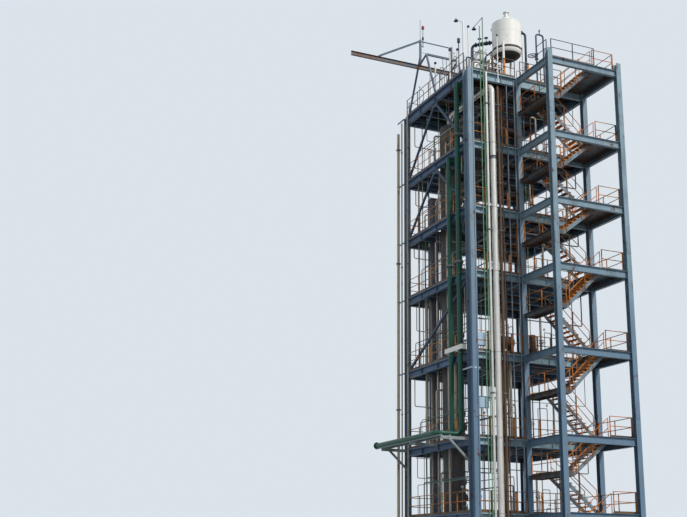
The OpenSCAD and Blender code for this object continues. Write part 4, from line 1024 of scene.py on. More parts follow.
class Rails:
    """Rails of one group: tubes, posts, toe plates, post feet and their bolts."""

    def __init__(self, paint="rails", replaced=()):
        self.paint, self.replaced = paint, replaced
        self.tubes, self.posts = Paths(), Paths()
        self.plates, self.bolts = Shape(), Fixings()

    def run(self, start, end, outward, z):
        """A straight run on its centre line: two rails, posts on bolted feet, and a toe plate."""
        a, b, out = Vector(start), Vector(end), Vector(outward)
        along = Vector((abs(out.y), abs(out.x)))
        foot = along * 0.05 + Vector((abs(out.x), abs(out.y))) * 0.02
        for height in (RAIL_HEIGHT - RAIL_T / 2, KNEE_HEIGHT):
            self.tubes.add([(a.x, a.y, z + height), (b.x, b.y, z + height)])
        span = (b - a).length
        inset = (b - a) * (RAIL_T / 2 / span)
        spaces = max(1, math.ceil(span / POST_PITCH))
        for i in range(spaces + 1):
            x, y = a + inset + (b - a - 2 * inset) * (i / spaces)
            self.posts.add([(x, y, z), (x, y, z + RAIL_HEIGHT - RAIL_T / 2)])
            self.plates.box((x - foot.x, y - foot.y, z), (x + foot.x, y + foot.y, z + FOOT_T))
            self.bolts.add([(x + along.x * d, y + along.y * d, z + FOOT_T) for d in (-0.036, 0.036)], "up")
        outer, inner = out * (RAIL_T / 2), out * (RAIL_T / 2 - TOE_T)
        xs, ys = zip(a + outer, b + outer, a + inner, b + inner)
        self.plates.box((min(xs), min(ys), z), (max(xs), max(ys), z + TOE_HEIGHT))

    def finish(self, name, node):
        sides = settings().fixing.rail_sides
        self.tubes.finish(f"{name}_tubes", node, self.paint, RAIL_T / 2, sides=sides, replaces=self.replaced)
        self.posts.finish(f"{name}_posts", node, self.paint, POST_R, sides=sides)
        self.plates.piece(f"{name}_plates", node, "rim")
        self.bolts.finish(f"{name}_bolts", node, SMALL_BOLT)


def fit_rails():
    """Handrails of the floors, those of the top deck in worn paint."""
    for name, node, levels, paint in (
        ("lower_rail", "lower_handrails", range(1, 4), "rails"),
        ("upper_rail", "upper_handrails", range(4, FLOORS), "rails"),
        ("top_rail", "top_handrails", range(FLOORS, FLOORS + 1), "worn_rails"),
    ):
        rails = Rails(paint, replaced=(node,))
        for n in levels:
            for start, end, outward in floor_runs():
                rails.run(start, end, outward, LEVELS[n])
        rails.finish(name, node)


# Stair


def flights():
    """Every flight as (lane, x0, z0, x1, z1), from its lower end to its upper one."""
    for n in range(1, FLOORS + 1):
        yield OUTER_LANE, X_MID_EDGE, HALF_LEVELS[n], X_FLOOR_EDGE, LEVELS[n]
        yield INNER_LANE, X_FLOOR_EDGE, LEVELS[n - 1], X_MID_EDGE, HALF_LEVELS[n]


def lay_treads():
    """Grating treads: bearing bars, cross rods, a nosing and two bolted end plates each."""
    depth, highest = 0.27, 0.21
    bar_rows, rod_rows = 6, 9
    bars, bolts = Scatter(), Fixings()
    for lane, x0, z0, x1, z1 in flights():
        count = math.ceil((z1 - z0) / highest)
        run = (x1 - x0) / count
        y0, y1 = lane + STRINGER_T, lane + FLIGHT_W - STRINGER_T
        middle, width = (y0 + y1) / 2, y1 - y0
        nose = (0.006 - depth / 2) if run > 0 else (depth / 2 - 0.006)
        for i in range(1, count):
            x = x0 + (i - 0.5) * run
            z = z0 + i * (z1 - z0) / count
            for j in range(bar_rows):
                bars.add((x - depth / 2 + 0.02 + j * 0.046, middle, z - 0.0175), size=(0.005, width, 0.03))
            for j in range(rod_rows):
                bars.add((x, y0 + (j + 0.5) * width / rod_rows, z - 0.004), size=(depth, 0.006, 0.006))
            bars.add((x + nose, middle, z - 0.0175), size=(0.012, width, 0.035))
            for y, side in ((y0 + 0.003, 1), (y1 - 0.003, -1)):
                bars.add((x, y, z - 0.03), size=(depth, 0.006, 0.06))
                bolts.add([(x + dx, y + side * 0.003, z - 0.042) for dx in (-0.08, 0.08)],
                          "back" if side > 0 else "front")
    bars.finish("stair_tread_bars", "bars", "stair_treads", "rails", smooth=None, replaces=("stair_treads",))
    bolts.finish("stair_tread_bolts", "stair_treads", SMALL_BOLT)


def fit_stair_rails():
    """Round rails of the flights and the landings, with toe plates and bolted post feet."""
    rails = Rails(replaced=("stair_rails",))
    half, inset = RAIL_T / 2, 0.15
    for lane, x0, z0, x1, z1 in flights():
        way = 1 if x1 > x0 else -1
        slope = (z1 - z0) / (x1 - x0)
        a, b = x0 + way * inset, x1 - way * inset
        for y, out, facing in ((lane - half, -half, "front"), (lane + FLIGHT_W + half, half, "back")):
            for up in (RAIL_HEIGHT - half, KNEE_HEIGHT):
                rails.tubes.add([(x, y, z0 + slope * (x - x0) + up) for x in (a, b)])
            for x in (a, (a + b) / 2, b):
                z = z0 + slope * (x - x0)
                rails.tubes.add([(x, y, max(0.0, z - 0.15)), (x, y, z + RAIL_HEIGHT - half)])
                rails.bolts.add([(x, y + out, max(0.03, z + dz)) for dz in (-0.11, -0.04)], facing)
    left, right = X_MID + BEAM_HALF + half, X_RIGHT - BEAM_HALF - half
    front = OUTER_LANE + half
    for n in range(1, FLOORS + 1):
        rails.run((left, OUTER_LANE), (left, Y_FRONT - LEG_HALF), (-1, 0), HALF_LEVELS[n])
        rails.run((left + half, front), (X_MID_EDGE, front), (0, -1), HALF_LEVELS[n])
        rails.run((right, OUTER_LANE), (right, Y_FRONT - LEG_HALF), (1, 0), LEVELS[n])
        rails.run((X_FLOOR_EDGE, front), (right - half, front), (0, -1), LEVELS[n])
    rails.finish("stair_rail", "stair_rails")
    clear, top = LEG_HALF + 0.01, steel_top(FLOORS)
    head = Rails("signal_dark")
    head.run((X_MID, Y_STAIR + clear), (X_MID, OUTER_LANE + FLIGHT_W), (-1, 0), top)
    head.run((X_MID + clear, Y_STAIR), (X_FLOOR_EDGE, Y_STAIR), (0, -1), top)
    head.finish("head_rail", "stair_rails")


# Joints of the steelwork


def leg_half(x, y):
    return CORNER_HALF.y if (x, y) == (X_LEFT, Y_FRONT) else LEG_HALF


def end_plates(bolts, plates, low, top, rows):
    """Bolted plates on the legs where the side beams end."""
    for x in (X_LEFT, X_MID, X_RIGHT):
        for y, way, facing in ((Y_FRONT, 1, "back"), (Y_REAR, -1, "front")):
            face = y + way * leg_half(x, y)
            inner = face + way * SPLICE_T
            plates.box((x - 0.11, min(face, inner), low - 0.02), (x + 0.11, max(face, inner), top - 0.001))
            bolts.add([(x + dx, inner, z) for dx in (-0.08, 0.08) for z in rows], facing)


def fin_plates(bolts, plates, low, top, rows):
    """Plates lapped on the webs of the front and rear beams, beside the legs."""
    for y, facing, out in ((Y_FRONT, "front", -1), (Y_REAR, "back", 1)):
        y0, y1 = sorted((y + out * WEB_HALF, y + out * SPLICE_T))
        for x, way in ((X_LEFT, 1), (X_MID, -1), (X_MID, 1), (X_RIGHT, -1)):
            x0, x1 = sorted((x + way * 0.19, x + way * 0.30))
            plates.box((x0, y0, low + 0.03), (x1, y1, top - 0.03))
            bolts.add([((x0 + x1) / 2, y + out * SPLICE_T, z) for z in rows[:3]], facing)


def web_stiffeners(bolts, stiffeners, low, top, rows):
    """Upright plates between the flanges of the side and front beams."""
    half, tip_in = 0.005, 0.004
    z0, z1 = low + FLANGE_T, top - FLANGE_T
    for x, facing, out in ((X_LEFT, "left", -1), (X_RIGHT, "right", 1)):
        web, tip = sorted((x + out * WEB_HALF, x + out * (BEAM_HALF - tip_in)))
        for i in range(1, 4):
            y = Y_FRONT + (Y_REAR - Y_FRONT) * i / 4
            stiffeners.box((web, y - half, z0), (tip, y + half, z1))
            if i % 2:
                bolts.add([(x + out * WEB_HALF, y + dy, z) for dy in (0.05, 0.11) for z in rows[1:]], facing)
    for i in range(1, 3):
        for x0, x1 in ((X_LEFT, X_MID), (X_MID, X_RIGHT)):
            x = x0 + (x1 - x0) * i / 3
            stiffeners.box((x - half, Y_FRONT - BEAM_HALF + tip_in, z0), (x + half, Y_FRONT - WEB_HALF, z1))


def beam_joints(bolts, plates, stiffeners):
    """End plates, fin plates, stiffeners and bolts of the floor beams."""
    for n in range(1, FLOORS + 1):
        low, top = beam_foot(n), steel_top(n)
        rows = [low + 0.06 + i * (top - low - 0.12) / 3 for i in range(4)]
        end_plates(bolts, plates, low, top, rows)
        fin_plates(bolts, plates, low, top, rows)
        web_stiffeners(bolts, stiffeners, low, top, rows)


def splice_leg(bolts, plates, x, y, half_x, half_y):
    """Bolted splice plates over the front and rear flanges of a leg, above every second floor."""
    plate_half, edge = 0.32, 0.06
    for n in (2, 4, 6):
        z = LEVELS[n] + 1.3
        for way, facing in ((-1, "front"), (1, "back")):
            face = y + way * (half_y + SPLICE_T)
            y0, y1 = sorted((y + way * half_y, face))
            plates.box((x - half_x + 0.01, y0, z - plate_half), (x + half_x - 0.01, y1, z + plate_half))
            rows = [z + dz for dz in (-0.26, -0.17, -0.08, 0.08, 0.17, 0.26)]
            bolts.add([(x + dx, face, row) for dx in (edge - half_x, half_x - edge) for row in rows], facing)


def stiffen_foot(plates, x, y, half_x, half_y):
    """Gussets between a leg and its base plate."""
    wall, reach = 0.012, 0.30
    for way in (-1, 1):
        y0, y1 = y + way * half_y, y + way * reach
        if abs(y1 - y0) < 0.03:
            continue
        for left in (x - half_x + 0.014, x + half_x - 0.014 - wall):
            outline = [(left, y0, BASE_TOP), (left, y1, BASE_TOP), (left, y1, BASE_TOP + 0.04),
                       (left, y0, BASE_TOP + 0.22)]
            plates.extrude(outline if way < 0 else outline[::-1], (wall, 0, 0))


def leg_joints(bolts, plates):
    """Splice plates on the flanges of the legs, and gussets on the base plates."""
    for x, y in ALL_LEGS:
        half_y = leg_half(x, y)
        half_x = CORNER_HALF.x if half_y > LEG_HALF else LEG_HALF
        splice_leg(bolts, plates, x, y, half_x, half_y)
        stiffen_foot(plates, x, y, half_x, half_y)


def anchor_bolts():
    """Threaded anchors with nuts and washers in the holes of the base plates."""
    anchors, nuts = Shape(), Fixings()
    off = 0.24
    for x, y in ALL_LEGS:
        for px, py in ((x - off, y - off), (x - off, y + off), (x + off, y - off), (x + off, y + off)):
            anchors.rod((px, py, 0), (px, py, BASE_TOP + 0.11), 0.014, 10)
            nuts.add([(px, py, BASE_TOP)], "up")
    anchors.piece("anchor_rods", "base_plates", "bolts", SMOOTH)
    nuts.finish("anchor_nuts", "base_plates", settings().fixing.anchor_nut)


def apex_gusset(middle, high):
    """Outline and bolt places (y, z) of the plate under a beam where two braces meet."""
    outline = [(middle - 0.42, high), (middle - 0.30, high - 0.30), (middle + 0.30, high - 0.30),
               (middle + 0.42, high)]
    marks = ((-0.26, 0.12), (-0.2, 0.22), (0.26, 0.12), (0.2, 0.22))
    return outline, [(middle + dy, high - dz) for dy, dz in marks]


def corner_gusset(y, way, z, up):
    """Outline and bolt places (y, z) of the plate in the corner of a leg and a beam."""
    corners = ((0, 0), (0.42, 0), (0.36, 0.26), (0.16, 0.46), (0, 0.46))
    marks = ((0.14, 0.13), (0.2, 0.27), (0.28, 0.17))
    return [[(y + way * dy, z + up * dz) for dy, dz in places] for places in (corners, marks)]


def brace_joints(bolts, plates):
    """Gusset plates where the braces of the left face meet the legs and the beams."""
    wall = 0.008
    face = X_LEFT - 0.053
    front, rear = Y_FRONT + CORNER_HALF.y, Y_REAR - LEG_HALF
    gussets = []
    for n in (6, 7):
        gussets += [corner_gusset(front, 1, LEVELS[n - 1], 1), corner_gusset(rear, -1, LEVELS[n - 1], 1),
                    apex_gusset((front + rear) / 2, beam_foot(n))]
    gussets += [corner_gusset(rear, -1, LEVELS[3], 1), corner_gusset(front, 1, beam_foot(4), -1)]
    for outline, marks in gussets:
        points = [(face, y, z) for y, z in outline]
        area = sum(a[1] * b[2] - b[1] * a[2] for a, b in zip(points, points[1:] + points[:1]))
        plates.extrude(points if area < 0 else points[::-1], (wall, 0, 0))
        bolts.add([(face, y, z) for y, z in marks], "left")


def fasten_steel():
    """Plates and bolts of the frame, gussets of the braces, and the anchors."""
    bolts, plates, stiffeners = Fixings(), Shape(), Shape()
    beam_joints(bolts, plates, stiffeners)
    leg_joints(bolts, plates)
    plates.piece("joint_plates", "main_legs", "legs")
    stiffeners.piece("beam_stiffeners", "floor_beams_1", "beams")
    bolts.finish("joint_bolts", "main_legs", settings().fixing.bolt_head)
    gussets, rivets = Shape(), Fixings()
    brace_joints(rivets, gussets)
    gussets.piece("brace_gussets", "braces", "braces")
    rivets.finish("brace_bolts", "braces", settings().fixing.bolt_head)
    anchor_bolts()


# Columns and pipes


def clad(name, slot, finish, ends, radius, pitch, width=None, sides=32):
    """Bands round a clad pipe or column, from end to end of its straight centre line."""
    width = width or settings().fixing.band_w
    inputs = {"Radius": radius + 0.002, "Pitch": pitch, "Width": width, "Sides": sides}
    grow(name, "bands", ends, slot, finish, edges=[(0, 1)], inputs=inputs, smooth=SMOOTH)


def band_columns():
    """Bands of the cladding on both columns."""
    pitch = settings().fixing.band_pitch
    ends = [(0, 0, column_low.z + 0.3), (0, 0, column_high.z)]
    clad("column_bands", "column_shell", "column", ends, COLUMN_R, pitch)
    ends = [(0, SLIM_Y, slim_low.z + 0.3), (0, SLIM_Y, slim_high.z)]
    clad("slim_bands", "slim_shell", "slim", ends, SLIM_R, pitch * 1.3)


def fit_manways():
    """Covers of the manways, their bolts, handles, hinges and davits."""
    covers, davits, bolts = Shape(), Shape(), Fixings()
    face = -COLUMN_R - 0.2
    side, arm = 0.40, 0.022
    for n in range(1, FLOORS):
        z = LEVELS[n] + 0.95
        covers.rod((0, face, z), (0, face - 0.03, z), 0.34, 32)
        covers.rod((0, face - 0.03, z), (0, face - 0.045, z), 0.25, 32)
        bolts.add([(x, face - 0.03, up) for x, up in around(20, 0.295, (0, z))], "front")
        post, eye = (side, face + 0.06), (0, face - 0.09)
        davits.rod((*post, z - 0.2), (*post, z + 0.45), arm, 10)
        davits.rod((*post, z + 0.45), (*eye, z + 0.45), arm, 10)
        davits.rod((*eye, z + 0.45), (*eye, z + 0.05), 0.012, 8)
        for low in (-0.12, 0.06):
            davits.box((0.33, face, z + low), (side, face + 0.03, z + low + 0.06))
        for x in (-0.14, 0.14):
            foot = (x, face - 0.10, z - 0.05)
            davits.rod((x, face - 0.045, z - 0.05), foot, 0.009, 8)
            davits.rod(foot, (x, face - 0.10, z + 0.07), 0.009, 8)
    covers.piece("manway_covers", "column_nozzles", "column", SMOOTH)
    davits.piece("manway_davits", "column_nozzles", "rails", SMOOTH)
    bolts.finish("manway_bolts", "column_nozzles", 0.03)


def bolt_base_rings():
    """Nuts on the base rings of both columns, and gussets over the main column's ring."""
    nuts, chairs = Fixings(), Shape()
    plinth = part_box("column_plinth")[1].z
    ring_r = 0.56 + 0.14 / 2 + 0.065
    nuts.add([(x, y, plinth + 0.04) for x, y in around(16, ring_r)], "up")
    nuts.add([(x, y, plinth + 0.03) for x, y in around(12, SLIM_R + 0.045, (0, SLIM_Y))], "up")
    nuts.finish("base_ring_nuts", "column_skirt", 0.045)
    low = plinth + 0.04
    for x, y in around(16, 1.0, start=0.5):
        across = Vector((-y, x, 0)) * 0.006
        inner, outer = Vector((x, y, 0)) * COLUMN_R, Vector((x, y, 0)) * (COLUMN_R + 0.13)
        corners = ((inner, low), (outer, low), (outer, low + 0.06), (inner, low + 0.22))
        outline = [at + Vector((0, 0, z)) - across for at, z in corners]
        chairs.extrude(outline[::-1], across * 2)
    chairs.piece("base_ring_gussets", "column_skirt", "legs")


def riser_places():
    """Risers as (x, y, radius, foot, head): those on the front bars, then those on the left ones.

    The third is the silver pipe, the fourth the overhead line, and the last two are green.
    """
    gap = 0.0003
    top, ledge = LEVELS[FLOORS], LEVELS[2] + 0.6
    in_front = [
        (0.72, 0.028, 0.5, top + 2.7), (0.92, 0.028, 0.5, top + 3.2), (1.05, 0.075, 0.5, top - 0.14),
        (1.35, 0.165, 0.6, top - 1.1), (1.79, 0.075, 0.5, top - 0.9), (1.99, 0.04, 0.5, LEVELS[6]),
        (2.41, 0.032, 0.5, top - 0.7), (2.90, 0.032, 0.5, top - 0.3),
    ]
    at_left = [
        (Y_REAR - 0.45, 0.05, 0.5, top + 0.2), (Y_REAR + 0.35, 0.045, 0.5, top - 0.3),
        (Y_REAR + 0.75, 0.085, 0.5, top - 0.9), (Y_FRONT + 0.8, 0.135, ledge, steel_top(FLOORS) - 0.55),
        (Y_FRONT + 1.8, 0.135, ledge, steel_top(FLOORS - 1) - 0.43),
    ]
    places = [(X_LEFT + x, BAR_Y - gap - r, r, foot, head) for x, r, foot, head in in_front]
    return places + [(BAR_X - gap - r, y, r, foot, head) for y, r, foot, head in at_left]


def u_bolt(hoops, nuts, x, y, z, radius, on_front):
    """A U bolt round a riser, its ends through the bar behind and each with a nut."""
    wire, steps = (0.008 if radius > 0.06 else 0.005), 10
    first = math.pi if on_front else math.pi / 2
    angles = [first + math.pi * i / steps for i in range(steps + 1)]
    arc = [(x + (radius + wire) * math.cos(a), y + (radius + wire) * math.sin(a), z) for a in angles]
    back = (BAR_Y if on_front else BAR_X) + BAR

    def behind(point, depth):
        return (point[0], back + depth, z) if on_front else (back + depth, point[1], z)

    line = [behind(arc[0], 0.02), *arc, behind(arc[-1], 0.02)]
    for a, b in zip(line, line[1:]):
        hoops.rod(a, b, wire, 6)
    nuts.add([behind(end, 0) for end in (arc[0], arc[-1])], "back" if on_front else "right")


def clamp_risers():
    """U bolts that hold the risers to their bars, and flange pairs on those of middling width."""
    hoops, nuts, flanges = Shape(), Fixings(), Scatter()
    for x, y, radius, foot, head in riser_places():
        on_front = y < Y_FRONT - DECK_EDGE - 0.03
        for n in range(1, FLOORS + 1):
            z = steel_top(n) - BAR / 2
            if foot < z < head:
                u_bolt(hoops, nuts, x, y, z, radius, on_front)
        if 0.03 < radius <= 0.15:
            for n in (2, 4, 6):
                z = LEVELS[n] + (0.55 if radius > 0.1 else 1.7 + 8 * radius)
                if foot + 0.3 < z < head - 0.3:
                    flanges.add((x, y, z), size=(radius,) * 3)
    hoops.piece("riser_u_bolts", "riser_bars", "bolts", SMOOTH)
    nuts.finish("riser_nuts", "riser_bars", 0.022)
    flanges.finish("riser_flanges", "flanges", "grey_pipes", "grey")


def band_risers():
    """Bands of the lagging on the overhead line and the silver pipe."""
    node = "overhead_line"
    x, y, radius = riser_places()[3][:3]
    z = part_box("overhead_line")[1].z - radius
    dark_low, dark_high = LEVELS[6] - 0.95, LEVELS[6] - 0.85
    clad("overhead_bands", node, "lagging", [(x, y, 0.9), (x, y, LEVELS[7] - 1.2)], radius, 1.0, sides=28)
    clad("overhead_run_bands", node, "lagging", [(0, y + 0.6, z), (0, -0.6, z)], radius, 1.0)
    clad("overhead_dark_band", node, "signal_dark", [(x, y, dark_low), (x, y, dark_high)], radius, 0.2,
         width=0.2, sides=28)
    x, y, radius = riser_places()[2][:3]
    ends = [(x, y, 0.9), (x, y, LEVELS[7] - 0.4)]
    clad("silver_bands", "silver_pipe", "lagging", ends, radius, 1.2, sides=20)


def clamp_green_pipes():
    """The white clamp that holds both green pipes to the third floor's bar."""
    strap, wall = Shape(), 0.012
    outer = BAR_X - 0.285
    first, last = Y_FRONT + 0.40, Y_FRONT + 2.25
    z0, z1 = LEVELS[3] + 0.10, LEVELS[3] + 0.36
    strap.box((outer, first, z0), (outer + wall, last, z1))
    for y in (first, Y_FRONT + 1.29, last - wall):
        strap.box((outer + wall, y, z0), (BAR_X, y + wall, z1))
    strap.piece("white_clamp", "green_pipes", "drum")


# Equipment between the floors


def ladder(shape, x, y, z0, z1):
    """A fixed ladder that faces -Y: two flat stiles on foot plates, and round rungs."""
    half, pitch = 0.19, 0.25
    for middle in (x - half, x + half):
        shape.box((middle - 0.006, y - 0.03, z0), (middle + 0.006, y + 0.03, z1))
        shape.box((middle - 0.04, y - 0.04, z0), (middle + 0.04, y + 0.04, z0 + FOOT_T))
    for i in range(int((z1 - z0) / pitch)):
        z = z0 + 0.2 + pitch * i
        shape.rod((x - half, y, z), (x + half, y, z), 0.011, 8)


def fit_ladders():
    ladders = Shape()
    ladder(ladders, X_MID - 0.55, Y_FRONT + 0.62, LEVELS[6], beam_foot(7) + 0.1)
    ladder(ladders, X_MID - 0.22, Y_FRONT + 0.45, LEVELS[4], beam_foot(5) + 0.1)
    ladders.piece("ladders", "upper_handrails", "rails", SMOOTH)


def post_boards():
    """The broad channel posts of the front rails, on each floor."""
    boards, bolts = Shape(), Fixings()
    front, wall, lip, deep = Y_FRONT - 0.05, 0.007, 0.008, 0.05
    posts = ((X_LEFT + 0.97, 0.07), (X_LEFT + 2.43, 0.05), (X_MID + 0.80, 0.05), (X_MID + 2.05, 0.045))
    for n in range(1, FLOORS + 1):
        z0, z1 = LEVELS[n], LEVELS[n] + RAIL_HEIGHT
        for middle, half in posts[1:] if n == FLOORS else posts:
            x0, x1 = middle - half, middle + half
            boards.box((x0, front, z0), (x1, front + wall, z1))
            for x in (x0, x1 - lip):
                boards.box((x, front + wall, z0), (x + lip, front + deep, z1))
            boards.box((x0 - 0.03, front - 0.03, z0), (x1 + 0.03, front + 0.08, z0 + FOOT_T))
            marks = [(x, z0 + dz) for x in (x0 + 0.03, x1 - 0.03) for dz in (0.1, 0.55, 1.0)]
            bolts.add([(x, front, z) for x, z in marks], "front")
    boards.piece("post_boards", "lower_handrails", "orange")
    bolts.finish("post_board_bolts", "lower_handrails", SMALL_BOLT)


def cabinets():
    """Pale cabinets and boxes on the front of the left bay, with doors, hinges and glands."""
    bodies, fittings = Shape(), Shape()
    front, door, glands = Y_FRONT - 0.06, 0.012, 5
    for x0, x1, z0, z1, deep in (
        (X_LEFT + 0.22, X_LEFT + 0.80, LEVELS[3] + 0.28, LEVELS[3] + 0.98, 0.16),
        (X_LEFT + 0.22, X_LEFT + 0.90, LEVELS[2] + 1.50, LEVELS[2] + 2.06, 0.14),
    ):
        back, middle = front + deep, (z0 + z1) / 2
        bodies.box((x0, front, z0), (x1, back, z1))
        bodies.box((x0 + 0.015, front - door, z0 + 0.015), (x1 - 0.015, front, z1 - 0.015))
        for x in (x0 + 0.03, x1 - 0.06):
            fittings.box((x, back, z0 - 0.25), (x + 0.03, back + 0.03, z1 + 0.05))
        for z in (z0 + 0.08, z1 - 0.08):
            fittings.rod((x0 + 0.008, front - door, z - 0.03), (x0 + 0.008, front - door, z + 0.03), 0.007, 8)
        fittings.rod((x1 - 0.06, front - door, middle), (x1 - 0.06, front - 0.03, middle), 0.015, 10)
        for i in range(glands):
            x, y = x0 + (i + 0.5) * (x1 - x0) / glands, front + deep / 2
            fittings.rod((x, y, z0 - 0.05), (x, y, z0), 0.012, 8)
            fittings.rod((x, y, z0 - 0.9), (x, y, z0 - 0.05), 0.006, 6)
    z = LEVELS[2] + 1.9
    fittings.box((X_LEFT + 0.15, Y_FRONT + 0.02, z), (X_LEFT + 1.0, Y_FRONT + 0.08, z + 0.06))
    bodies.piece("cabinets", "floor_beams_3", "cabinet")
    fittings.piece("cabinet_fittings", "floor_beams_3", "bolts", SMOOTH)


def leg_strap():
    """The flat strap round the corner leg that steadies the green pipes."""
    strap, bolts = Shape(), Fixings()
    wall = 0.012
    z0, z1 = LEVELS[2] + 3.52, LEVELS[2] + 3.60
    side = X_LEFT + CORNER_HALF.x
    front, rear = Y_FRONT - CORNER_HALF.y, Y_FRONT + CORNER_HALF.y
    x0, x1, face = BAR_X - 0.10, side + 0.12, front - wall
    strap.box((x0, face, z0), (x1, front, z1))
    strap.box((side, front, z0), (side + wall, rear, z1))
    strap.box((x0, front, z0), (x0 + wall, Y_FRONT + 0.66, z1))
    strap.piece("leg_strap", "green_pipes", "cabinet")
    marks = (x0 + 0.04, X_LEFT - 0.1, X_LEFT + 0.1, x1 - 0.04)
    bolts.add([(x, face, (z0 + z1) / 2) for x in marks], "front")
    bolts.finish("leg_strap_bolts", "green_pipes", 0.03)


def sleeve(inner, outer, height):
    """Section of a plain ring, for a lathe."""
    return [(inner, 0), (outer, 0), (outer, height), (inner, height)]


def inner_pipes():
    """Pipes that pass from floor to floor inside the bays, with collars at the decks.

    Each is a place x, y, its lowest and highest floor, and its radius.
    """
    groups = {
        "cream": [(-0.9, 1.45, 2, 4, 0.08), (-1.0, -1.32, 2, 3, 0.075), (-1.0, -2.05, 2, 3, 0.075),
                  (1.17, -4.2, 2, 3, 0.07), (1.42, -3.1, 4, 5, 0.05), (1.30, 1.20, 4, 7, 0.06),
                  (-0.95, 2.3, 3, 6, 0.05)],
        "tan": [(0.66, -4.2, 2, 3, 0.075), (0.66, -4.2, 1, 2, 0.075), (1.45, 2.5, 3, 7, 0.045)],
        "rust": [(0.95, -3.95, 6, 7, 0.035), (1.25, -4.05, 6, 7, 0.03), (1.52, -3.9, 5, 7, 0.03),
                 (1.38, -4.2, 5, 6, 0.04), (0.75, -3.8, 5, 6, 0.035), (3.1, -4.0, 5, 7, 0.04),
                 (4.4, -3.9, 4, 6, 0.04), (-0.6, -3.6, 5, 7, 0.03)],
    }
    for finish, rows in groups.items():
        pipes = Shape()
        for x, y, low, high, r in rows:
            z0, z1 = LEVELS[low], steel_top(high) - 0.03
            pipes.rod((x, y, z0), (x, y, z1), r, 20)
            for z in LEVELS[low:high]:
                pipes.lathe((x, y, z), sleeve(r, 1.5 * r + 0.02, 0.09), 20)
            for z in (z0 + 1.55, z0 + 1.70):
                pipes.lathe((x, y, z), sleeve(r, 1.75 * r, 0.022), 16)
        pipes.piece(f"inner_pipes_{finish}", "floor_lines", finish, SMOOTH)


def run_under_floors():
    """Cable trays, conduits, hangers and lamps below the floors."""
    trays, hangers, conduits, lamps = Shape(), Shape(), Paths(), Scatter()
    tray_x, tray_half, rungs, rods = X_MID - 0.75, 0.15, 23, 6
    lamp_places = ((X_LEFT + 0.75, -3.4), (X_LEFT + 0.6, 1.35), (X_MID - 0.25, -3.2), (X_RIGHT - 1.2, -3.0))
    for n in range(2, FLOORS + 1):
        z = beam_foot(n) - 0.12
        for x in (tray_x - tray_half, tray_x + tray_half):
            trays.box((x - 0.002, Y_FRONT + 0.35, z), (x + 0.002, Y_REAR - 0.4, z + 0.06))
        for i in range(rungs):
            y = Y_FRONT + 0.5 + 0.3 * i
            trays.box((tray_x - 0.148, y, z + 0.005), (tray_x + 0.148, y + 0.03, z + 0.02))
        for i in range(rods):
            y = Y_FRONT + 0.8 + 1.2 * i
            hangers.rod((tray_x, y, z + 0.06), (tray_x, y, z + 0.3), 0.006, 6)
        for i in range(4):
            x = X_MID - 0.86 + 0.07 * i
            conduits.add([(x, Y_FRONT + 0.4, z + 0.03), (x, Y_REAR - 0.5, z + 0.03)])
        for i in range(3):
            y, up = Y_FRONT + 0.62 + 0.09 * i, z - 0.06 - 0.05 * i
            conduits.add([(X_LEFT + 0.3, y, up), (X_RIGHT - 0.4, y, up)])
        conduits.add([(X_LEFT + 0.25, Y_REAR - 0.55, z), (X_MID - 0.3, Y_REAR - 0.55, z)])
        for x, y in lamp_places:
            hangers.rod((x, y, z + 0.12), (x, y, z + 0.30), 0.012, 8)
            lamps.add((x, y, z))
    trays.piece("cable_trays", "floor_lines", "bolts")
    hangers.piece("tray_hangers", "floor_lines", "bolts")
    conduits.finish("conduits", "floor_lines", "grey", 0.017)
    lamps.finish("bulkhead_lamps", "bulkheads", "lamps", "lamp_glass")


def small_bore():
    """Small lines with valves and gauges that stand at the floors and on the top deck."""
    picks = random.Random(7)
    lines, valves, gauges = Paths(), Scatter(), Scatter()
    bore = 0.021
    floor_spots = ((0.88, -3.55), (1.05, -1.6), (1.12, 0.7), (-0.98, -2.6), (-0.95, 0.1), (2.6, -3.75),
                   (3.7, -3.8), (4.7, -3.9), (1.3, 1.9))
    deck_spots = ((0.72, -3.5), (1.0, -3.3), (1.25, -3.6), (0.3, -3.9), (3.3, -3.6), (3.6, -2.4),
                  (0.0, -2.2), (-0.8, 1.0), (-0.9, -3.4), (-1.0, -2.4), (-0.85, -1.2), (-0.3, -3.2),
                  (0.4, -3.0), (0.2, -1.4), (-0.9, 2.2), (1.3, -2.0), (1.0, -0.9), (-0.5, -0.3),
                  (2.9, -3.9), (4.6, -3.5))
    for n in range(1, FLOORS + 1):
        z = LEVELS[n]
        for x, y in floor_spots if n < FLOORS else deck_spots:
            if picks.random() < 0.2:
                continue
            rise = picks.uniform(0.75, 1.9) if n < FLOORS else picks.uniform(1.1, 2.2)
            reach, back = picks.uniform(0.3, 0.75), picks.choice((-1, 1)) * picks.uniform(0.25, 0.6)
            way = 1 if picks.random() < 0.5 else -1
            if n < FLOORS:
                lines.add(over((x, y), (x + way * reach, y), z, z + rise))
                lines.add([(x, y, z + 0.35), (x, y + back, z + 0.35), (x, y + back, z)])
            else:
                far, aside, step = x + way * 0.45 * reach, y + 0.5 * back, z + 0.6 * rise
                lines.add([(x, y, z), (x, y, z + rise), (far, y, z + rise), (far, y, step),
                           (far, aside, step), (far, aside, z)])
            valves.add((x, y, z + picks.uniform(0.5, 0.65)), (0, 0, picks.uniform(-1.2, 1.6)), (bore,) * 3)
            if picks.random() < 0.6:
                gauges.add((x, y, z + rise + 0.02), size=(1.3,) * 3)
    lines.finish("small_lines", "floor_lines", "grey", bore, bend=0.06)
    valves.finish("small_valves", "valves", "floor_lines", "slate")
    gauges.finish("gauges", "gauges", "floor_lines", "lamp_glass")


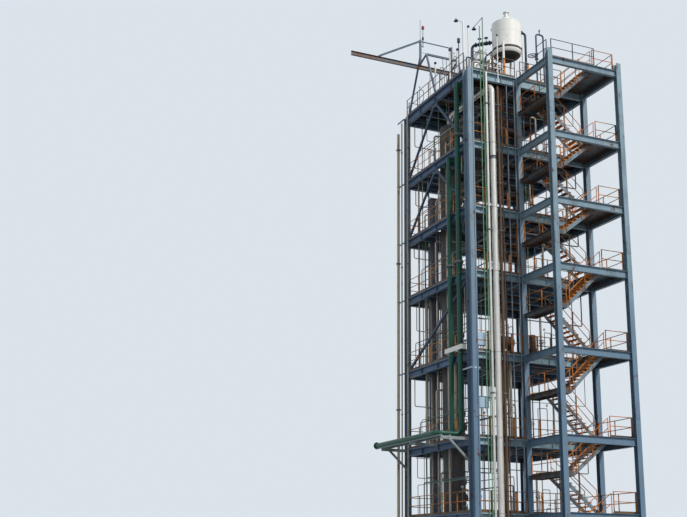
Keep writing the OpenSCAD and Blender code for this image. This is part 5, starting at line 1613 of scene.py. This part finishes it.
def service_lines():
    """Lines of several widths that climb and cross the bays between the floors."""
    picks = random.Random(11)
    radii = {"grey": 0.020, "cream": 0.028, "brown": 0.024, "slate": 0.034, "light_green": 0.018}
    names = list(radii)
    lines = {name: Paths() for name in names}
    climbs = ((-1.02, -3.5), (-1.02, -2.5), (-1.0, -1.7), (-1.02, -0.45), (-1.05, 0.8), (-1.0, 1.7),
              (1.42, -3.6), (1.45, -2.2), (1.42, -0.7), (1.44, 0.55), (1.4, 1.75), (-0.3, -3.75),
              (0.35, -3.6), (2.75, -3.85), (3.3, -3.7), (4.1, -3.9), (4.9, -3.75), (5.6, -3.8))
    for n in range(1, FLOORS):
        z0, z1 = LEVELS[n], beam_foot(n + 1)
        for x, y in climbs:
            if picks.random() < 0.65:
                lines[picks.choice(names)].add([(x, y, z0), (x, y, z1)])
        for x in (-1.14, -0.90, 1.26, 1.56):
            rise = picks.uniform(1.45, 1.95)
            near, far = Y_FRONT + picks.uniform(0.5, 0.9), Y_REAR - picks.uniform(0.5, 1.5)
            lines[picks.choice(names)].add(over((x, near), (x, far), z0, z0 + rise))
        for y in (-4.0, -3.2, -1.3, 1.3, 2.8):
            rise = picks.uniform(2.1, 2.6)
            end = X_RIGHT - 0.4 if y < -3.5 else X_MID - 0.35
            start = X_LEFT + picks.uniform(0.28, 0.5)
            lines[picks.choice(names)].add(over((start, y), (end, y), z1, z0 + rise))
    for name in names:
        lines[name].finish(f"service_lines_{name}", "floor_lines", name, radii[name], bend=0.09, sides=10)


def turned_heads():
    """The ends of the two green risers, turned into the bay below the beam, each with its flange."""
    bends, rings = Paths(), Shape()
    reach, drop = 0.95, 0.6
    for x, y, radius, _, head in riser_places()[-2:]:
        z = head - radius - 0.03
        far = x + reach
        bends.add([(x, y, z), (far, y, z), (far, y, z - drop)])
        rings.lathe((far, y, z - drop - 0.03), sleeve(0.02, radius + 0.06, 0.03), 28)
    bends.finish("green_heads", "green_pipes", "green", 0.13, bend=0.25, sides=28)
    rings.piece("green_head_flanges", "green_pipes", "green", SMOOTH)


def deck_manifold():
    """Pipe stands, headers and their valves in the front left quarter of the top deck."""
    picks = random.Random(5)
    top = LEVELS[FLOORS]
    radii = {"lagging": 0.045, "cream": 0.035, "slate": 0.03, "signal_dark": 0.04}
    names = list(radii)
    lines = {name: Paths() for name in names}
    valves = Scatter()
    for i in range(9):
        x, y = X_LEFT + 1.35 + 0.21 * i, -4.0 + 0.55 * (i % 3)
        rise, back = picks.uniform(1.0, 2.1), picks.uniform(0.35, 0.8)
        name = names[i % len(names)]
        lines[name].add(over((x, y), (x, y + back), top, top + rise))
        valves.add((x, y, top + 0.55 * rise), (0, 0, picks.uniform(-1.2, 1.6)), (0.8 * radii[name],) * 3)
    for i, (name, rise) in enumerate(zip(names, (0.85, 1.15, 1.5, 1.75))):
        y = -3.72 + 0.33 * i
        lines[name].add(over((X_LEFT + 1.0, y), (X_LEFT + 3.0, y), top, top + rise))
    for name in names:
        lines[name].finish(f"deck_manifold_{name}", "floor_lines", name, radii[name], bend=0.1, sides=14)
    valves.finish("deck_valves", "valves", "floor_lines", "slate")


def edge_leg():
    """The raised flat bars along both edges of the corner leg's front face."""
    bars = Shape()
    wide, raised, front = 0.07, 0.035, Y_FRONT - CORNER_HALF.y
    for x in (X_LEFT - CORNER_HALF.x, X_LEFT + CORNER_HALF.x - wide):
        bars.box((x, front - raised, 0.06), (x + wide, front, LEVELS[FLOORS] - 0.05))
    bars.piece("leg_edge_bars", "main_legs", "legs")


def cap_vents():
    """Dark caps on the vents and the finial of the pipe loop."""
    caps = Shape()
    top = LEVELS[FLOORS]
    hood = [(0.01, -0.04), (0.05, -0.04), (0.055, 0.03), (0.09, 0.05), (0.09, 0.08), (0.03, 0.15),
            (0.01, 0.15)]
    for x, y, rise in ((0.85, 3.55, 2.9), (1.38, 3.55, 3.05), (0.45, 4.65, 2.45), (1.59, 2.55, 4.15)):
        caps.lathe((X_LEFT + x, Y_FRONT + y, top + rise), hood, 16)
    small_hood = [(0.008, -0.03), (0.034, -0.03), (0.034, 0.02), (0.055, 0.04), (0.055, 0.09), (0.008, 0.12)]
    caps.lathe((X_LEFT + 1.88, BAR_Y - 0.028, top + 2.33), small_hood, 16)
    x, y, z = X_LEFT + LOOP_X + 0.51 / 2, Y_FRONT + LOOP_Y, top + 4.05
    caps.rod((x, y, z + 0.03), (x, y, z + 0.20), 0.028, 10)
    caps.lathe((x, y, z + 0.20), [(0.008, 0), (0.045, 0.02), (0.045, 0.10), (0.008, 0.17)], 14)
    caps.piece("vent_caps", "vent_pipes", "signal_dark", SMOOTH)


def fit_loop_valve():
    """The hand valve on the front leg of the pipe loop."""
    valve = Shape()
    x, y, z = X_LEFT + LOOP_X, Y_FRONT + LOOP_Y, LEVELS[FLOORS] + 2.55
    hub = Vector((x - 0.30, y, z))
    valve.rod((x, y, z - 0.16), (x, y, z + 0.16), 0.085, 20)
    for dz in (-0.19, 0.16):
        valve.rod((x, y, z + dz), (x, y, z + dz + 0.03), 0.12, 20)
    valve.rod((x, y, z), (x - 0.36, y, z), 0.03, 12)
    valve.lathe((hub.x, y, z - 0.02), sleeve(0.24, 0.28, 0.04), 24)
    for turn in (0.0, 1.05, 2.09):
        spoke = Vector((math.cos(turn), math.sin(turn), 0)) * 0.25
        valve.rod(hub - spoke, hub + spoke, 0.012, 8)
    valve.piece("loop_valve", "pipe_loop", "signal_dark", SMOOTH)


def mast_lamp():
    """The red lamp on its stem beside the mast of the lifting frame."""
    stem, glass = Shape(), Shape()
    x, y, z = X_LEFT + 0.185, RUNWAY_Y, LEVELS[FLOORS] + 4.7
    head = z + 0.6
    stem.rod((x, y, z), (x, y, head), 0.02, 12)
    stem.lathe((x, y, head - 0.03), [(0.01, 0), (0.07, 0), (0.09, 0.03), (0.01, 0.03)], 20)
    bulb = [(0.005, 0), (0.08, 0), (0.09, 0.06), (0.085, 0.14), (0.05, 0.2), (0.005, 0.21)]
    glass.lathe((x, y, head), bulb, 20)
    stem.piece("mast_lamp_stem", "lamps", "slate", SMOOTH)
    glass.piece("mast_lamp_glass", "lamps", "signal_red", SMOOTH)


def lifting_ties():
    """The heavy tie from the mast to the runway beam, and the upper stay with the post it runs to."""
    ties = Shape()
    top, y, half = LEVELS[FLOORS], RUNWAY_Y, 0.055
    post_x = X_LEFT + 2.2
    ties.rod((X_LEFT - 0.05, y, top + 4.39), (X_LEFT - 2.8, y, top + 2.83), 0.078, 4)
    ties.box((post_x - half, y - half, top + 3.69), (post_x + half, y + half, top + 4.46))
    ties.rod((X_LEFT + 0.05, y, top + 4.4), (post_x - 0.05, y, top + 4.39), 0.036, 12)
    ties.piece("lifting_ties", "gallows", "slate", SMOOTH)


def crown_drum(cx, cy, top, bottom):
    """The flanged spool on the drum's nozzle and the pale knuckle band over its bottom head."""
    spool, knuckle = Shape(), Shape()
    flanged = [(0.10, 0), (0.25, 0), (0.25, 0.03), (0.13, 0.03), (0.13, 0.38), (0.19, 0.38), (0.19, 0.42),
               (0.10, 0.42)]
    band = [(0.775, -0.24), (0.788, -0.24), (0.821, -0.20), (0.846, -0.15), (0.8642, -0.10), (0.8755, -0.05),
            (0.880, -0.008), (0.865, -0.008), (0.86, -0.05), (0.85, -0.10), (0.832, -0.15), (0.808, -0.20)]
    spool.lathe((cx, cy, top), flanged, 40)
    knuckle.lathe((cx, cy, bottom), band, 96)
    spool.piece("drum_spool", "drum_nozzle", "lagging", SMOOTH)
    knuckle.piece("drum_knuckle", "drum_bottom_head", "drum", SMOOTH)


def fit_drum_lines(cx, cy, bottom):
    """Flange pairs and hand valves on the two lines of the drum.

    Each line leaves the drum at an angle and height, with a radius and the distances of its flanges.
    """
    fittings, wheels = Shape(), Shape()
    for angle, rise, radius, places in ((137, 0.819, 0.085, (1.0, 1.45, 1.85)), (0, 1.547, 0.07, (1.0,))):
        out = Vector((math.cos(math.radians(angle)), math.sin(math.radians(angle)), 0))
        axis = Vector((cx, cy, bottom + rise))
        for d in places:
            for gap in (0, 0.05):
                fittings.rod(axis + out * (d + gap), axis + out * (d + gap + 0.03), radius + 0.06, 24)
        for d in places[1:]:
            stem = axis + out * (d - 0.2)
            head = stem + Vector((0, 0, 0.36))
            fittings.rod(stem - out * 0.1, stem + out * 0.1, radius + 0.035, 20)
            fittings.rod(stem, head, 0.022, 12)
            wheels.rod(head, head + Vector((0, 0, 0.02)), 0.13, 20)
    fittings.piece("drum_line_fittings", "drum_lines", "signal_dark", SMOOTH)
    wheels.piece("drum_line_wheels", "drum_lines", "slate", SMOOTH)


def dress_drum():
    """Weld seams, lifting lugs and bolts of the drum, its spool and band, and the fittings of its lines."""
    low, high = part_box("drum_shell")
    cx, cy, r = (low.x + high.x) / 2, (low.y + high.y) / 2, (high.x - low.x) / 2
    seams, lugs, bolts = Shape(), Shape(), Fixings()
    bead = [(r - 0.005, -0.012), (r + 0.005, -0.006), (r + 0.007, 0), (r + 0.005, 0.006), (r - 0.005, 0.012)]
    for z in (low.z + 0.62 * (high.z - low.z), high.z - 0.01):
        seams.lathe((cx, cy, z), bead, 96)
    seams.piece("drum_seams", "drum_shell", "drum", 60)
    ring_low, ring_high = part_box("drum_ring")
    ring_r = (ring_high.x - ring_low.x) / 2 - 0.035
    nozzle_low, nozzle_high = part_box("drum_nozzle")
    nozzle_r = 0.86 * (nozzle_high.x - nozzle_low.x) / 2
    bolts.add([(x, y, ring_high.z) for x, y in around(24, ring_r, (cx, cy))], "up")
    bolts.add([(x, y, nozzle_high.z) for x, y in around(16, nozzle_r, (cx, cy), 0.5)], "up")
    bolts.finish("drum_bolts", "drum_nozzle", 0.032)
    crown_drum(cx, cy, nozzle_high.z, low.z)
    fit_drum_lines(cx, cy, low.z)
    for angle in (-40, 140):
        a = math.radians(angle)
        out, across = Vector((math.cos(a), math.sin(a), 0)), Vector((-math.sin(a), math.cos(a), 0)) * 0.012
        root = Vector((cx, cy, high.z)) + out * (r - 0.004) - across
        corners = ((0, -0.32), (0.09, -0.24), (0.09, -0.12), (0, -0.06))
        outline = [root + out * d + Vector((0, 0, dz)) for d, dz in corners]
        lugs.extrude(outline[::-1], across * 2)
    lugs.piece("drum_lugs", "drum_shell", "drum")


# Stage


def light_path_mask(graph):
    """1 for camera, mirror and glass rays, 0 for the rest."""
    path = graph.node("ShaderNodeLightPath")
    seen = Number(graph, path.outputs["Is Camera Ray"])
    seen = seen.math("MAXIMUM", Number(graph, path.outputs["Is Glossy Ray"]))
    return seen.math("MAXIMUM", Number(graph, path.outputs["Is Transmission Ray"]))


def set_world(stage):
    world = bpy.data.worlds.new("backdrop")
    world.use_nodes = True
    graph = Graph(world.node_tree)
    world.node_tree.nodes.clear()
    seen = graph.node("ShaderNodeBackground", None, {"Color": linear(stage.sky), "Strength": 1.0})
    fill = graph.node("ShaderNodeBackground", None, {"Color": (0.86, 0.93, 1.0), "Strength": stage.fill})
    sockets = {0: light_path_mask(graph), 1: fill.outputs[0], 2: seen.outputs[0]}
    both = graph.node("ShaderNodeMixShader", None, sockets)
    graph.node("ShaderNodeOutputWorld", None, {0: both.outputs[0]})
    bpy.context.scene.world = world


def set_floor(stage):
    """A wide pale floor that looks paler than it lights the undersides."""
    reach, below = 400.0, -0.002
    mesh = bpy.data.meshes.new("studio_floor")
    corners = [(x * reach, y * reach, below) for x, y in ((-1, -1), (1, -1), (1, 1), (-1, 1))]
    mesh.from_pydata(corners, [], [(0, 1, 2, 3)])
    finish = Finish("studio_floor", 0.95, 0.0, 0.1)
    pale = linear(stage.floor)
    finish.set("Base Color", finish.mix(light_path_mask(finish), scaled(pale, 0.35), pale))
    mesh.materials.append(finish.material)
    floor = bpy.data.objects.new("studio_floor", mesh)
    bpy.context.scene.collection.objects.link(floor)


def set_lights(stage):
    lamp = bpy.data.lights.new("key", "SUN")
    lamp.energy = stage.key
    lamp.angle = math.radians(9)
    lamp.color = (1.0, 0.97, 0.92)
    key = bpy.data.objects.new("key", lamp)
    towards = Vector((0.30, -0.78, 0.80)).normalized()
    key.rotation_euler = towards.to_track_quat("Z", "Y").to_euler()
    bpy.context.scene.collection.objects.link(key)


def set_camera(stage):
    lens = bpy.data.cameras.new("camera")
    lens.lens = stage.lens
    lens.sensor_width = 36
    lens.shift_y = stage.lift
    lens.clip_end = 2000
    camera = bpy.data.objects.new("camera", lens)
    camera.location = stage.place
    turn = (Matrix.Rotation(-stage.heading, 3, "Z") @ Matrix.Rotation(math.pi / 2 + stage.pitch, 3, "X")
            @ Matrix.Rotation(stage.roll, 3, "Z"))
    camera.rotation_euler = turn.to_euler()
    bpy.context.scene.collection.objects.link(camera)
    bpy.context.scene.camera = camera


# Operators


def paint_nodes():
    """Makes the finishes and gives every CAD node its own."""
    FINISHES.update(make_finishes())
    painted = 0
    for finish, nodes in NODE_FINISHES.items():
        for node in nodes:
            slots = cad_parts[node].data.materials
            slots.clear()
            slots.append(FINISHES[finish])
            painted += 1
    if painted != len(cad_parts):
        raise RuntimeError(f"{len(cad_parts) - painted} nodes have no finish")


def make_trees():
    """Makes the geometry trees, those of the solids from their lists of parts."""
    patterns = {"bolts": bolts_tree, "tubes": tubes_tree, "bands": bands_tree, "grating": grating_tree}
    solids = {"bars": bar_parts, "flanges": flange_parts, "valves": valve_parts, "gauges": gauge_parts,
              "bulkheads": lamp_parts}
    TREES.update({name: make() for name, make in patterns.items()})
    TREES.update({name: union_tree(name, parts_of) for name, parts_of in solids.items()})


def set_stage():
    stage = settings().stage
    bpy.context.scene.view_settings.view_transform = "Standard"
    for step in (set_world, set_floor, set_lights, set_camera):
        step(stage)


class TOWER_OT_finishes(bpy.types.Operator):
    """Makes the finishes and paints the CAD nodes"""

    bl_idname = "tower.finishes"
    bl_label = "Finishes"

    def execute(self, context):
        paint_nodes()
        make_trees()
        return {"FINISHED"}


class TOWER_OT_decks(bpy.types.Operator):
    """Lays the gratings and plates of the floors"""

    bl_idname = "tower.decks"
    bl_label = "Decks"

    def execute(self, context):
        lay_decks()
        edge_decks()
        return {"FINISHED"}


class TOWER_OT_rails(bpy.types.Operator):
    """Fits the handrails of the floors"""

    bl_idname = "tower.rails"
    bl_label = "Handrails"

    def execute(self, context):
        fit_rails()
        return {"FINISHED"}


class TOWER_OT_stair(bpy.types.Operator):
    """Lays the treads and fits the rails of the stair"""

    bl_idname = "tower.stair"
    bl_label = "Stair"

    def execute(self, context):
        lay_treads()
        fit_stair_rails()
        return {"FINISHED"}


class TOWER_OT_joints(bpy.types.Operator):
    """Bolts the steelwork together"""

    bl_idname = "tower.joints"
    bl_label = "Steel joints"

    def execute(self, context):
        fasten_steel()
        return {"FINISHED"}


class TOWER_OT_columns(bpy.types.Operator):
    """Dresses the columns with bands, manway covers and bolts"""

    bl_idname = "tower.columns"
    bl_label = "Columns"

    def execute(self, context):
        band_columns()
        fit_manways()
        bolt_base_rings()
        return {"FINISHED"}


class TOWER_OT_risers(bpy.types.Operator):
    """Clamps and dresses the risers"""

    bl_idname = "tower.risers"
    bl_label = "Risers"

    def execute(self, context):
        clamp_risers()
        band_risers()
        clamp_green_pipes()
        return {"FINISHED"}


class TOWER_OT_equipment(bpy.types.Operator):
    """Fits post boards, cabinets, trays, lamps, ladders and small lines, and what stands on the top deck"""

    bl_idname = "tower.equipment"
    bl_label = "Floor equipment"

    def execute(self, context):
        post_boards()
        cabinets()
        leg_strap()
        inner_pipes()
        run_under_floors()
        small_bore()
        service_lines()
        turned_heads()
        deck_manifold()
        edge_leg()
        cap_vents()
        fit_loop_valve()
        mast_lamp()
        lifting_ties()
        fit_ladders()
        return {"FINISHED"}


class TOWER_OT_drum(bpy.types.Operator):
    """Adds the drum's seams, lugs, bolts and line fittings"""

    bl_idname = "tower.drum"
    bl_label = "Drum"

    def execute(self, context):
        dress_drum()
        return {"FINISHED"}


class TOWER_OT_stage(bpy.types.Operator):
    """Sets the floor, the backdrop, the light and the camera"""

    bl_idname = "tower.stage"
    bl_label = "Stage"

    def execute(self, context):
        set_stage()
        return {"FINISHED"}


OPERATORS = (
    TOWER_OT_finishes, TOWER_OT_decks, TOWER_OT_rails, TOWER_OT_stair, TOWER_OT_joints, TOWER_OT_columns,
    TOWER_OT_risers, TOWER_OT_equipment, TOWER_OT_drum, TOWER_OT_stage,
)


class TOWER_PT_panel(bpy.types.Panel):
    """Lists the settings of the tower and a button for each group of pieces"""

    bl_label = "Tower"
    bl_idname = "TOWER_PT_panel"
    bl_space_type = "VIEW_3D"
    bl_region_type = "UI"
    bl_category = "Tower"

    def draw(self, context):
        for group in (settings().paint, settings().deck, settings().fixing, settings().stage):
            box = self.layout.box()
            for key in group.bl_rna.properties.keys():
                if key not in ("rna_type", "name"):
                    box.prop(group, key)
        for operator in OPERATORS:
            self.layout.operator(operator.bl_idname)


CLASSES = (
    PaintSettings, DeckSettings, FixingSettings, StageSettings, TowerSettings, *OPERATORS, TOWER_PT_panel,
)


def register():
    for cls in CLASSES:
        bpy.utils.register_class(cls)
    bpy.types.Scene.tower = PointerProperty(type=TowerSettings)


def unregister():
    del bpy.types.Scene.tower
    for cls in reversed(CLASSES):
        bpy.utils.unregister_class(cls)


def main():
    register()
    for operator in OPERATORS:
        group, name = operator.bl_idname.split(".")
        getattr(getattr(bpy.ops, group), name)()


if __name__ == "__main__":
    main()
